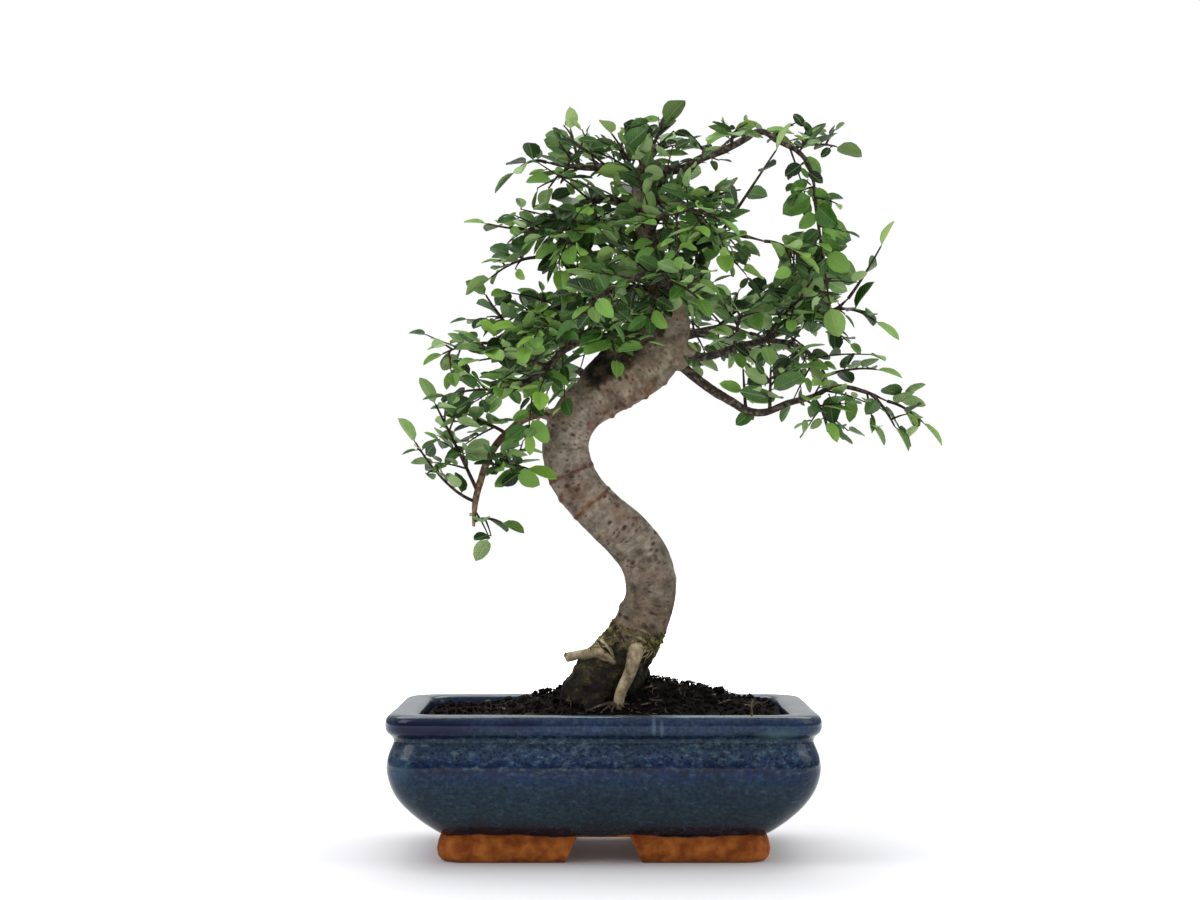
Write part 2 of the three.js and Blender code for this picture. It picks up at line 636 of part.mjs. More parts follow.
// A leaf's outline as five triangles and their edges, moved along its face by lift. It starts at a share of
// the leaf's length.
function leafPlates(leaf, lift, from) {
  const rise = leaf.face.clone().multiplyScalar(lift);
  const at = (along, across, up) =>
    leaf.root
      .clone()
      .addScaledVector(leaf.axis, along * leaf.length)
      .addScaledVector(leaf.across, across * leaf.width)
      .addScaledVector(leaf.face, up * leaf.width)
      .add(rise);
  const base = [at(from, PLATE_FOOT, 0), at(from, -PLATE_FOOT, 0)];
  const tip = at(PLATE_TIP, 0, -LEAF_DROOP);
  const left = PLATE_EDGE.map(([along, across]) => at(along, across, LEAF_FOLD));
  const right = PLATE_EDGE.map(([along, across]) => at(along, -across, LEAF_FOLD));
  return {
    triangles: [[base[0], base[1], right[0]], [base[0], right[0], left[0]], [left[0], right[0], right[1]],
      [left[0], right[1], left[1]], [left[1], right[1], tip]],
    edges: [[base[0], left[0]], [left[0], left[1]], [left[1], tip], [tip, right[1]], [right[1], right[0]],
      [right[0], base[1]], [left[0], right[0]], [left[1], right[1]]],
  };
}

// Whether two sets of triangles, each with its edges, pass through each other.
function platesCross(one, other) {
  return (
    one.edges.some(([p, q]) => other.triangles.some((triangle) => crossesTriangle(p, q, triangle))) ||
    other.edges.some(([p, q]) => one.triangles.some((triangle) => crossesTriangle(p, q, triangle)))
  );
}

// Whether two leaves come nearer to each other than their clearance.
function leavesCross(one, other) {
  if (one.middle.distanceTo(other.middle) > (one.length + other.length) / 2 + LEAF_REACH) return false;
  const still = leafPlates(other, 0, 0);
  return [-1, -0.5, 0, 0.5, 1].some((lift) => platesCross(leafPlates(one, lift * LEAF_CLEARANCE, 0), still));
}

// Whether a leaf passes through the skin of the stem that bears it, anywhere past its foot. The face that the
// leaf stands on is left out near the foot.
function crossesOwnStem(leaf, stem) {
  const others = { triangles: [], edges: [] };
  const own = { triangles: [], edges: [] };
  for (let segment = 0; segment < stem.steps; segment++)
    for (let face = 0; face < STEM_SIDES; face++) {
      const panel = segment === leaf.segment && face === leaf.side ? own : others;
      const next = (face + 1) % STEM_SIDES;
      const [low, high] = [stem.rings[segment], stem.rings[segment + 1]];
      panel.triangles.push([low[face], low[next], high[next]], [low[face], high[next], high[face]]);
      panel.edges.push([low[face], high[face]], [high[face], high[next]], [low[face], high[next]]);
    }
  return [-LEAF_THICK, 0, LEAF_THICK].some(
    (lift) =>
      platesCross(leafPlates(leaf, lift, STEM_CLEAR_FROM), others) ||
      platesCross(leafPlates(leaf, lift, OWN_FACE_CLEAR_FROM), own),
  );
}

// Places on a leaf, as shares of its length and width, that are kept away from wood and stems, and its heart,
// from which each is reached.
const LEAF_HEART = [0.6, 0];
const LEAF_PROBES = [
  [0.34, 0.5], [0.34, -0.5], [0.5, 0], [0.66, 0.44], [0.66, -0.44], [0.85, 0.2], [0.85, -0.2], [1, 0],
];

// A place on a leaf, with the rise of its arch: up from the foot to the shoulders, and down to the tip.
function onLeaf(leaf, [along, across]) {
  const shoulder = LEAF_EDGE[0][0];
  const tooth = LEAF_EDGE.at(-1)[0];
  const fall = Math.max((along - tooth) / (1 - tooth), 0);
  const rise = Math.min(along / shoulder, 1) * LEAF_FOLD - fall * (LEAF_FOLD + LEAF_DROOP);
  return leaf.root
    .clone()
    .addScaledVector(leaf.axis, along * leaf.length)
    .addScaledVector(leaf.across, across * leaf.width)
    .addScaledVector(leaf.face, rise * leaf.width);
}

// Whether a leaf keeps clear of the wood, all stems and the leaves that are there already.
function leafIsClear(leaf, leaves, stems) {
  const centre = onLeaf(leaf, LEAF_HEART);
  const spokes = LEAF_PROBES.map((place) => [centre, onLeaf(leaf, place)]);
  const clearOfWood = woodPieces.every(
    (wood) =>
      woodRoom(leaf.root, leaf.tip, wood) > leaf.width + LEAF_ROOM ||
      (spokes.every(([from, to]) => woodRoom(from, to, wood) > LEAF_ROOM) &&
        (wood.member === leaf.member || woodRoom(leaf.root, leaf.tip, wood) > LEAF_ROOM)),
  );
  if (!clearOfWood) return false;
  const clearOfStems = stems.every((stem) =>
    stem.pieces.every(
      ({ a, b }) =>
        nearest(a, b, leaf.root, leaf.tip).distance > leaf.width + LEAF_ROOM ||
        (spokes.every(([from, to]) => nearest(from, to, a, b).distance > STEM_RADII[0] + LEAF_ROOM) &&
          (stem.number === leaf.shoot || nearest(leaf.root, leaf.tip, a, b).distance > STEM_RADII[0] + LEAF_ROOM)),
    ),
  );
  if (!clearOfStems) return false;
  return !crossesOwnStem(leaf, stems[leaf.shoot]) && !leaves.some((other) => leavesCross(leaf, other));
}

// Where a leaf stands on its stem: its root, the stem's directions, its segment and which side it is on. That is
// the end, side -1, for the last leaf, and otherwise one of the two upper sides.
function leafFoot(stem, place) {
  if (place === stem.leaves - 1) {
    const { along, side: above, other: level } = stem.frames.at(-1);
    return { root: stem.corners.at(-1).clone(), along, level, above, segment: stem.steps, side: -1 };
  }
  const share = FIRST_LEAF + (1 - FIRST_LEAF) * ((place + LEAF_PLACE) / stem.leaves);
  const whole = ((share - stem.from) / (1 - stem.from)) * stem.steps;
  const segment = Math.floor(whole);
  const within = THREE.MathUtils.clamp(whole - segment, ...SEGMENT_KEEP);
  const side = place % 2 ? 2 : 0;
  const middleOf = (ring) => ring[side].clone().lerp(ring[(side + 1) % STEM_SIDES], 0.5);
  const root = middleOf(stem.rings[segment]).lerp(middleOf(stem.rings[segment + 1]), within);
  const { along, side: above, other: level } = stem.frames[segment];
  return { root, along, level, above, segment, side };
}

// One leaf on a stem. Each further attempt rolls it round the stem and changes its droop.
function aimLeaf(stem, place, attempt) {
  const foot = leafFoot(stem, place);
  const { root, along, level, above } = foot;
  const seed = stem.number * SEEDS_A_STEM + place;
  const hand = place % 2 ? -1 : 1;
  const swing = attempt % 2 ? 1 : -1;
  const roll = vary(LEAF_LAY.roll, seed, 1) + swing * LEAF_LAY.rollEachTry * Math.ceil(attempt / 2);
  const out = level
    .clone()
    .multiplyScalar(hand * Math.cos(roll * DEGREE))
    .addScaledVector(above, Math.sin(roll * DEGREE));
  const spread = (foot.side < 0 ? LEAF_LAY.spreadAtEnd : vary(LEAF_LAY.spread, seed, 2)) * DEGREE;
  const axis = along.clone().multiplyScalar(Math.cos(spread)).addScaledVector(out, Math.sin(spread));
  axis.z -= vary(LEAF_LAY.sag, seed, 3) - LEAF_LAY.liftEachTry * attempt;
  axis.normalize();
  const tilt = vary(LEAF_LAY.tilt, seed, 4) * DEGREE;
  const upward = above.clone().multiplyScalar(Math.cos(tilt)).addScaledVector(level, Math.sin(tilt));
  const across = upward.clone().cross(axis).normalize();
  const face = axis.clone().cross(across);
  const shorter = 1 - LEAF_LAY.shorterTowardsTip * (place / stem.leaves);
  const length = LEAF_LENGTH * vary(LEAF_LAY.size, seed, 5) * shorter;
  const width = length * LEAF_SLIMNESS * vary(LEAF_LAY.girth, seed, 6);
  const tip = root.clone().addScaledVector(axis, length);
  const middle = root.clone().lerp(tip, 0.5);
  return { ...foot, shoot: stem.number, member: stem.member, axis, across, face, length, width, tip, middle };
}

// The leaves of all shoots. A leaf that finds no clear place is left off.
function placeLeaves(stems) {
  const leaves = [];
  for (const stem of stems)
    for (let place = 0; place < stem.leaves; place++)
      for (let attempt = 0; attempt < LEAF_TRIES; attempt++) {
        const leaf = aimLeaf(stem, place, attempt);
        if (!leafIsClear(leaf, leaves, stems)) continue;
        leaves.push(leaf);
        break;
      }
  return leaves;
}

// A shoot's skin: its points, and its triangles as places in the list of points.
class Skin {
  constructor() {
    this.points = [];
    this.faces = [];
  }

  // Keeps a point and returns its place in the list.
  add(point) {
    return this.points.push(point) - 1;
  }

  // A face with four corners.
  quad([a, b, c, d]) {
    this.faces.push(a, b, c, a, c, d);
  }

  // The band between a loop and a smaller loop inside it. Both run the same way round from like corners.
  band(outer, inner) {
    for (let i = 0, j = 0; i < outer.length || j < inner.length; ) {
      const [out, into] = [outer[i % outer.length], inner[j % inner.length]];
      if ((i + 1) / outer.length < (j + 1) / inner.length) this.faces.push(out, outer[++i % outer.length], into);
      else this.faces.push(out, inner[++j % inner.length], into);
    }
  }

  // A thin arched blade that grows from a loop of four points. Its two faces are split into triangles alike.
  blade(leaf, foot) {
    const outline = LEAF_EDGE.map(([along, across]) => [along, across, LEAF_FOLD]);
    outline.push([1, 0, -LEAF_DROOP], ...outline.map(([along, across, up]) => [along, -across, up]).reverse());
    const layer = (side) => {
      const stalk = [[0, LEAF_STALK / leaf.width, 0], ...outline, [0, -LEAF_STALK / leaf.width, 0]];
      return stalk.map(([along, across, up]) =>
        leaf.root
          .clone()
          .addScaledVector(leaf.axis, along * leaf.length)
          .addScaledVector(leaf.across, across * leaf.width)
          .addScaledVector(leaf.face, up * leaf.width + side * LEAF_THICK),
      );
    };
    const upper = layer(0.5);
    const lower = layer(-0.5);
    // The corners of the blade's own foot, taken round its axis, each go to the nearest point of the loop
    const ideal = [lower[0], upper[0], upper.at(-1), lower.at(-1)];
    const apart = (turn) =>
      ideal.reduce((sum, corner, i) => sum + corner.distanceTo(this.points[foot[(i + turn) % 4]]), 0);
    const turn = [0, 1, 2, 3].reduce((best, k) => (apart(k) < apart(best) ? k : best));
    const [lowerFirst, upperFirst, upperLast, lowerLast] = ideal.map((_, i) => foot[(i + turn) % 4]);
    const above = [upperFirst, ...upper.slice(1, -1).map((point) => this.add(point)), upperLast];
    const below = [lowerFirst, ...lower.slice(1, -1).map((point) => this.add(point)), lowerLast];
    // Places on the outline: foot 0 and 8, one edge 1 to 3, tip 4, the other edge 5 to 7
    const split = [[0, 8, 7], [0, 7, 1], [1, 7, 2], [7, 6, 2], [6, 4, 2], [2, 4, 3], [6, 5, 4]];
    for (const [a, b, c] of split) this.faces.push(above[a], above[b], above[c], below[a], below[c], below[b]);
    for (let i = 0; i + 1 < above.length; i++) this.quad([above[i], above[i + 1], below[i + 1], below[i]]);
  }

  // The skin as a solid.
  solid() {
    const positions = this.points.flatMap((point) => point.toArray());
    return solidOf(
      new THREE.BufferGeometry()
        .setAttribute("position", new THREE.BufferAttribute(new Float32Array(positions), 3))
        .setIndex(this.faces),
    );
  }
}

// A shoot is one skin: a three-sided stem whose faces open into the feet of its leaves.
function makeShoot(stem, leaves) {
  const skin = new Skin();
  const rings = stem.rings.map((ring) => ring.map((corner) => skin.add(corner)));
  skin.faces.push(rings[0][0], rings[0][2], rings[0][1]);
  const footLoop = (leaf, first, second, halfFirst, halfSecond) =>
    [[-1, -1], [-1, 1], [1, 1], [1, -1]].map(([i, j]) =>
      skin.add(leaf.root.clone().addScaledVector(first, i * halfFirst).addScaledVector(second, j * halfSecond)),
    );
  for (let segment = 0; segment < stem.steps; segment++)
    for (let face = 0; face < STEM_SIDES; face++) {
      const next = (face + 1) % STEM_SIDES;
      const low = rings[segment];
      const high = rings[segment + 1];
      const panel = [low[face], low[next], high[next], high[face]];
      const leaf = leaves.find((one) => one.segment === segment && one.side === face);
      if (!leaf) {
        skin.quad(panel);
        continue;
      }
      const crosswise = stem.rings[segment][next].clone().sub(stem.rings[segment][face]).normalize();
      const foot = footLoop(leaf, leaf.along, crosswise, FOOT_HALF_LENGTH, FOOT_HALF_WIDTH);
      skin.band(panel, foot);
      skin.blade(leaf, foot);
    }
  const end = leaves.find((one) => one.side < 0);
  if (end) {
    const foot = footLoop(end, end.above, end.level, -END_FOOT, END_FOOT);
    skin.band(rings.at(-1), foot);
    skin.blade(end, foot);
  } else skin.faces.push(...rings.at(-1));
  return skin.solid();
}

const MATERIALS = {
  glaze: new THREE.MeshStandardMaterial({ color: 0x1d3558, roughness: 0.18, metalness: 0 }),
  net: new THREE.MeshStandardMaterial({ color: 0x1c1c1c, roughness: 0.6, metalness: 0 }),
  soil: new THREE.MeshStandardMaterial({ color: 0x2a1d14, roughness: 1, metalness: 0 }),
  bark: new THREE.MeshStandardMaterial({ color: 0x84725f, roughness: 0.9, metalness: 0 }),
  leaf: new THREE.MeshStandardMaterial({ color: 0x3d7a34, roughness: 0.5, metalness: 0 }),
};

const bonsai = new THREE.Group();

// Adds a named piece to the plant.
function addPiece(name, solid, material) {
  const mesh = new THREE.Mesh(geometryOf(solid), material);
  mesh.name = name;
  bonsai.add(mesh);
}

const stems = layStems();
const leaves = placeLeaves(stems);

addPiece("pot", makePot(), MATERIALS.glaze);
addPiece("drain_mesh_left", makeDrainMesh(-DRAIN_OFFSET), MATERIALS.net);
addPiece("drain_mesh_right", makeDrainMesh(DRAIN_OFFSET), MATERIALS.net);
addPiece("soil", makeSoil(baseBars(GAP)), MATERIALS.soil);
addPiece("trunk_and_boughs", makeWood(), MATERIALS.bark);
const shootCount = {};
for (const stem of stems) {
  shootCount[stem.member] = (shootCount[stem.member] ?? 0) + 1;
  const name = `shoot_${stem.member}_${shootCount[stem.member]}`;
  addPiece(name, makeShoot(stem, leaves.filter((leaf) => leaf.shoot === stem.number)), MATERIALS.leaf);
}

const middle = new THREE.Box3().setFromObject(bonsai).getCenter(new THREE.Vector3());
bonsai.position.set(-middle.x, -middle.y, 0);

export default bonsai;
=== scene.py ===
"""A Chinese elm bonsai in its glazed pot, dressed for a studio picture.

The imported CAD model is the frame. Every visible node is replaced by a finer piece that keeps the node's
form and place: the pot, the soil, the nets over the drain holes, the trunk with its boughs, and each leafy
shoot. Places are given in millimetres round the pot's centre, as in the part's source, and `Layout` turns
them to metres in the row frame.
"""

from __future__ import annotations

import logging
import math
from collections.abc import Callable, Iterable, Sequence
from dataclasses import dataclass, field, replace
from enum import Enum

import bmesh
import bpy
import numpy as np
from mathutils import Matrix, Vector, noise

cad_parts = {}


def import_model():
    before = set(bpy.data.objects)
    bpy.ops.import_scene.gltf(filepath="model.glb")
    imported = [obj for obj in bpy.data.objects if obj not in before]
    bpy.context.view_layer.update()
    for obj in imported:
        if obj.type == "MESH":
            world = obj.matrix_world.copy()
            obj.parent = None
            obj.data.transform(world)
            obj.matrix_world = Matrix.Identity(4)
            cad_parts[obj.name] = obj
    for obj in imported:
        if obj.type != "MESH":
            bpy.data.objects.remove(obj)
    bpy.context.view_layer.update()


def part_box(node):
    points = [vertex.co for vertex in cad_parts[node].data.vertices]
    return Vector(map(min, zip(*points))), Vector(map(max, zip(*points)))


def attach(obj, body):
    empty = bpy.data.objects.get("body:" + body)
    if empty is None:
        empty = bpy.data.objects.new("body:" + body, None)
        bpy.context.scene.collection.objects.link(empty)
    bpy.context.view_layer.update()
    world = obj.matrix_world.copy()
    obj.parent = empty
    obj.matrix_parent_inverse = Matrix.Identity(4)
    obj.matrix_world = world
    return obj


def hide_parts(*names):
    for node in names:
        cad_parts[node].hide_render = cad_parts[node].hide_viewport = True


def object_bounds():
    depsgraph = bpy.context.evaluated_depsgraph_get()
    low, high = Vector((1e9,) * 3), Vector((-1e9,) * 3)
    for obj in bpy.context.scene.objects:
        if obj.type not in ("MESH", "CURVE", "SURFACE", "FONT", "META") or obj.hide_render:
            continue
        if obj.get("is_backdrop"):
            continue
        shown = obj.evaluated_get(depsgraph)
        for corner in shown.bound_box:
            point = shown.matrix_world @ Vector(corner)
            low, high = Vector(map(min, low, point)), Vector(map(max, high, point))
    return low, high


LOG = logging.getLogger("bonsai")
MM = 0.001
BODY = "root"

# Millimetres to a unit of the UV maps of bark and leaves
BARK_RUN = 100
LEAF_RUN = 20
UP = np.array((0.0, 0.0, 1.0))
BACK = np.array((0.0, 1.0, 0.0))

Array = np.ndarray
Chance = np.random.Generator
Object = bpy.types.Object
Material = bpy.types.Material
Node = bpy.types.Node
Pair = tuple[float, float]
Point = tuple[float, float, float]
RoutePoint = tuple[float, float, float, float]
Route = Sequence[Sequence[float]]


class Slot(Enum):
    """Names of the material slots."""

    POT = "glazed_stoneware"
    SOIL = "potting_soil"
    NET = "mesh_plastic"
    BARK = "elm_bark"
    LEAF = "elm_leaf"


# Trunk: x, y, z and radius up the S-curve, from inside the soil to the apex
TRUNK: list[RoutePoint] = [
    (3, 0, 58, 11), (4, 0, 76, 14.2), (7, 0, 88, 14), (13.5, 0, 100, 13), (20, 0, 113, 12.4),
    (23, 0, 125, 12.3), (20.5, 0, 139, 12.3), (11, 0, 151.5, 12.1), (-2, 0, 163.5, 11.4), (-12, 0, 175, 11.3),
    (-17.5, 0, 187, 11.5), (-18, 0, 199, 11.1), (-13, 0, 210, 11.3), (-2, 0, 219.5, 12), (12, 0, 227, 12),
    (25, 0, 236, 11.2), (32, 0, 248, 9.6), (33, 0, 261, 8.2), (29.5, 1, 275.5, 6.8), (22.5, 1, 292.5, 5.4),
    (18, 0, 311, 4.4), (19, 0, 328, 3.2), (24.5, 0, 342, 2),
]

# Roots: three that flare into the soil, the pale root in front of the trunk, and the cut root round its left
FLARING_ROOTS: list[list[RoutePoint]] = [
    [(9, -2, 100, 8), (-4, -5, 88, 8.5), (-13, -7, 76, 7.5), (-20, -8, 62, 5)],
    [(14, 5, 98, 7.5), (16, 12, 86, 6.5), (19, 18, 75, 6), (24, 23, 64, 4)],
    [(6, -5, 94, 7), (0, -12, 82, 6.5), (-5, -18, 71, 5.5), (-8, -22, 60, 4)],
    # Earth and bark fill the fork between the two in front
    [(-1, -7, 94, 6), (-8, -12, 80, 6.3), (-12, -14, 64, 5)],
]
# Wood that fills the crotch above the upper bend; its upper side is painted dark as shade
BURL: list[RoutePoint] = [(-4, 4, 226, 6), (8, 5, 236, 8), (19, 4, 244, 8), (27, 2, 254, 6)]
PALE_ROOTS: list[list[RoutePoint]] = [
    [(17, -6, 102, 3.9), (15.6, -12.5, 96.5, 3.4), (12.6, -17.5, 86, 3), (8, -20.5, 76, 2.7),
     (6, -22, 62, 2.8)],
    [(-18, -8, 93, 2.6), (-9, -12.5, 95, 2.3), (-2, -14.5, 95.5, 1.9), (3, -14.5, 93, 1.5),
     (6, -12.5, 88.5, 1.3)],
]


@dataclass(frozen=True)
class Bough:
    """A woody bough: its radius at the two ends, its centre line, and the share of it that bears no spray."""

    radii: Pair
    line: list[Point]
    bare: float = 0.12

    def route(self) -> list[RoutePoint]:
        """Return the centre line with a radius at each point."""
        first, last = self.radii
        steps = len(self.line) - 1
        return [(*point, first + (last - first) * i / steps) for i, point in enumerate(self.line)]


BOUGHS: dict[str, Bough] = {
    "low_left": Bough((2, 1.6), [
        (-15, 0, 209), (-28, -2, 210.5), (-38, -4, 208), (-45.5, -6, 202), (-52, -8, 195), (-56.5, -9, 186),
        (-59.5, -10, 177), (-61.5, -11, 169), (-62.5, -12, 156)], bare=0.66),
    "mid_left": Bough((2.6, 1), [
        (30, -3, 251), (14, -13, 256), (-1.5, -17, 252), (-19, -20, 240), (-30, -22, 229), (-44, -24, 220)]),
    "left": Bough((2.6, 0.9), [
        (31, 2, 270), (12, 7, 272), (-8, 10, 268), (-28, 11, 261), (-45, 10, 252), (-56, 8, 245.5)]),
    "upper_left": Bough((2.4, 0.9), [
        (19, 0, 308), (-2, -4, 315), (-12, -6, 310), (-20, -8, 300), (-28, -8, 293), (-33, -8, 286)]),
    "top_left": Bough((2, 0.9), [
        (18.5, 0, 326), (8, 3, 331.5), (-6, 5, 331), (-20, 5, 332.5), (-28, 6, 334)]),
    "top_right": Bough((2.4, 0.8), [
        (20, 0, 331), (39, -1, 330), (48, -2, 335), (58, -3, 338.5), (68, -4, 343.5), (76, -5, 347.5),
        (84, -6, 343), (96, -8, 335.5), (101, -9, 325), (102, -10, 314)]),
    "upper_right": Bough((2.2, 0.8), [
        (18, -1, 311), (30, -9, 314), (38, -13, 311), (44.5, -16, 306), (51, -18, 299.5), (58, -19, 296.5),
        (67, -20, 295), (77, -20, 292.5)]),
    "mid_right": Bough((2.3, 0.8), [
        (31, 0, 245), (46, 2, 238.5), (56, 3, 240), (65, 4, 243.5), (79, 6, 247), (88, 7, 252),
        (103, 9, 259), (114, 10, 262.5), (120, 10, 267.5)], bare=0.3),
    "right_fork": Bough((1.4, 0.8), [(79, 6, 247), (90, 2, 245), (101, -2, 238.5), (108, -4, 229)]),
    "low_right": Bough((2.5, 0.8), [
        (31, -1, 240), (49, -5, 224.5), (62, -8, 216), (70, -10, 211.5), (78, -11, 211), (88, -12, 215),
        (101, -14, 218.5), (110.5, -15, 223), (125.5, -16, 220.5), (136, -17, 216)], bare=0.62),
    "back_left": Bough((2.8, 0.9), [(2, 3, 221), (-8, 24, 230), (-19, 44, 237), (-28, 60, 239)]),
    "back": Bough((2.8, 0.9), [(32, 3, 262), (30, 28, 271), (24, 50, 276), (18, 66, 275)]),
    "back_high": Bough((2.2, 0.9), [(20, 2, 300), (13, 22, 309), (5, 42, 312)]),
    "back_right": Bough((2.8, 0.9), [(31, 3, 246), (47, 28, 252), (63, 48, 256), (75, 60, 254)]),
    "front": Bough((2.6, 0.9), [(31, -3, 266), (27, -26, 274), (18, -44, 274), (10, -56, 269)]),
    "front_high": Bough((2.2, 0.9), [(22, -2, 294), (26, -22, 303), (36, -40, 304)]),
}

# Leafy shoots by the member that bears them, in the order of their seeds: how far along (0 to 1), the tip,
# how far its middle arches up, and the number of leaves that the CAD solid has
SHOOTS: dict[str, list[tuple[float, Point, float, int]]] = {
    "low_left": [(0.86, (-90, -16, 196), -9, 7), (0.8, (-80, -24, 214), 1, 7), (0.68, (-37, -20, 184), 4, 6),
        (0.97, (-49, -16, 158), 3, 3), (0.42, (-70, -24, 206), 5, 6)],
    "mid_left": [(1, (-74, -32, 218), 4, 7), (0.76, (-58, -44, 234), 5, 6), (0.38, (6, -46, 234), 6, 7),
        (0.5, (-40, -36, 250), 4, 6)],
    "left": [(1, (-78, 2, 240), 3, 6), (0.86, (-57, 0, 268), -2, 5), (0.62, (-48, 34, 258), 5, 7),
        (0.4, (-18, 38, 262), 5, 6)],
    "upper_left": [(0.72, (-56, -10, 302), -3, 6), (1, (-54, -12, 276), 4, 6), (0.5, (-34, 20, 300), 5, 6),
        (0.6, (-16, -38, 288), 6, 6)],
    "top_left": [(1, (-43, 1, 329), 5, 5), (0.66, (-16, 7, 350), 0, 6), (0.7, (-26, -22, 318), 5, 6)],
    "trunk": [(1, (29, -3, 352), 0, 4), (0.93, (4, -20, 344), 4, 6), (0.95, (30, 24, 345), 4, 6)],
    "top_right": [(1, (109, -12, 262), 0, 9), (0.73, (113, 0, 341), 3, 4), (0.55, (82, 12, 347), 2, 5),
        (0.42, (62, -24, 344), 4, 6), (0.28, (50, 22, 344), 4, 5)],
    "upper_right": [(0.7, (82, -25, 335), 0, 4), (1, (93, -22, 286), 3, 6), (0.55, (56, -44, 284), 5, 7),
        (0.4, (66, -14, 318), 3, 5)],
    "mid_right": [(1, (136, 10, 293), -2, 3), (0.9, (132, 0, 256), 5, 6), (0.66, (106, 12, 292), 0, 6),
        (0.52, (96, -16, 266), 4, 7), (0.36, (66, -26, 258), 6, 7), (0.72, (112, 32, 256), 5, 6)],
    "right_fork": [(1, (132, -4, 232), 3, 7)],
    "low_right": [(1, (152, -22, 206), 3, 4), (0.68, (106, -26, 206), 3, 4), (0.5, (80, -20, 232), 2, 5),
        (0.4, (68, 2, 232), -2, 4), (0.93, (138, -28, 204), 3, 4)],
    "back_left": [(1, (-42, 78, 232), 4, 7), (0.62, (-44, 46, 226), 5, 6)],
    "back": [(1, (6, 84, 264), 5, 7), (0.6, (-8, 54, 290), 5, 6)],
    "back_high": [(1, (-12, 58, 306), 5, 7), (0.6, (34, 48, 320), 5, 6)],
    "back_right": [(1, (90, 76, 244), 5, 7), (0.6, (84, 40, 272), 5, 7)],
    "front": [(1, (-6, -70, 258), 4, 7), (0.6, (44, -56, 262), 5, 7)],
    "front_high": [(1, (52, -56, 300), 4, 6)],
}


def draw(a: float, b: float) -> float:
    """Give a number from 0 to 1 that looks random and is always the same for the same two numbers."""
    wave = math.sin(a * 12.9898 + b * 78.233) * 43758.5453
    return wave - math.floor(wave)


def unit(vector: Array) -> Array:
    """Return a vector, or rows of vectors, at length 1, and a zero one as it is."""
    length = np.linalg.norm(vector, axis=-1, keepdims=True)
    return vector / np.where(length > 0, length, 1)


def along_route(route: Route, share: float) -> Array:
    """Find the place at a share of the way along a route.

    Args:
        route: Points that start with x, y and z.
        share: From 0 at the start to 1 at the end.

    Returns:
        The place, with whatever else the points hold, such as a radius.
    """
    points = np.array(route, float)
    lengths = np.linalg.norm(np.diff(points[:, :3], axis=0), axis=1)
    reached = np.concatenate(([0], np.cumsum(lengths)))
    return np.array([np.interp(share * reached[-1], reached, column) for column in points.T])


class Layout:
    """Turns millimetres round the pot's centre to metres in the row frame, and back."""

    def __init__(self) -> None:
        """Read the pot's centre from the frame."""
        low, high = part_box("pot")
        self.centre = np.array([(low.x + high.x) / 2, (low.y + high.y) / 2, 0])

    def metres(self, points: Array | Sequence) -> Array:
        """Return millimetre points as metres in the row frame."""
        return np.asarray(points, float) * MM + self.centre

    def millimetres(self, points: Array | Sequence) -> Array:
        """Return row frame points as millimetres round the pot's centre."""
        return (np.asarray(points, float) - self.centre) / MM


def deselect_all() -> None:
    """Leave edit mode and select nothing."""
    if bpy.context.object and bpy.context.object.mode != "OBJECT":
        bpy.ops.object.mode_set(mode="OBJECT")
    bpy.ops.object.select_all(action="DESELECT")


def make_active(*objs: Object) -> None:
    """Select only these objects, and make the first one active."""
    deselect_all()
    for obj in objs:
        obj.select_set(True)
    bpy.context.view_layer.objects.active = objs[0]


def add_primitive(operator: Callable, name: str, scale: Point = (1, 1, 1), **settings: object) -> Object:
    """Add a primitive and put its place and size into its mesh.

    Args:
        operator: The operator that adds it.
        name: The new object's name.
        scale: How much it is stretched along each axis.
        settings: What the operator takes.

    Returns:
        The new object, at the origin and selected alone.
    """
    deselect_all()
    operator(**settings)
    obj = bpy.context.object
    obj.name = name
    obj.scale = scale
    bpy.ops.object.transform_apply(location=True, rotation=True, scale=True)
    return obj


def apply_modifier(obj: Object, kind: str, **settings: object) -> None:
    """Add a modifier to an object and apply it.

    Args:
        obj: The object.
        kind: The modifier's type.
        settings: Values for the modifier's properties.
    """
    make_active(obj)
    modifier = obj.modifiers.new(kind.lower(), kind)
    for key, value in settings.items():
        setattr(modifier, key, value)
    bpy.ops.object.modifier_apply(modifier=modifier.name)


def combine(obj: Object, tool: Object, operation: str) -> None:
    """Join a tool to an object or cut it away, and delete the tool."""
    apply_modifier(obj, "BOOLEAN", object=tool, operation=operation, solver="EXACT")
    bpy.data.objects.remove(tool)


def pick(obj: Object, test: Callable[[Vector], bool]) -> None:
    """Enter edit mode with just the points selected that pass a test.

    Args:
        obj: The active mesh object.
        test: Says whether a point at this place is selected.
    """
    bpy.ops.object.mode_set(mode="EDIT")
    bpy.ops.mesh.select_mode(type="VERT")
    mesh = bmesh.from_edit_mesh(obj.data)
    for vertex in mesh.verts:
        vertex.select_set(test(vertex.co))
    mesh.select_flush(True)
    bmesh.update_edit_mesh(obj.data)


def points_of(obj: Object) -> Array:
    """Return the places of a mesh's points."""
    return np.array([vertex.co for vertex in obj.data.vertices])


def set_points(obj: Object, points: Array) -> None:
    """Move a mesh's points to these places."""
    obj.data.vertices.foreach_set("co", points.ravel())
    obj.data.update()


def relief(obj: Object, rise: Callable[[Vector], float]) -> None:
    """Move each point of a mesh along its normal."""
    moved = [vertex.co + vertex.normal * rise(vertex.co) for vertex in obj.data.vertices]
    set_points(obj, np.array(moved, float))


def soft_noise(place: Vector, size: float) -> float:
    """Return smooth noise from -1 to 1 whose lumps are about this many millimetres apart."""
    return noise.noise(place / (size * MM))


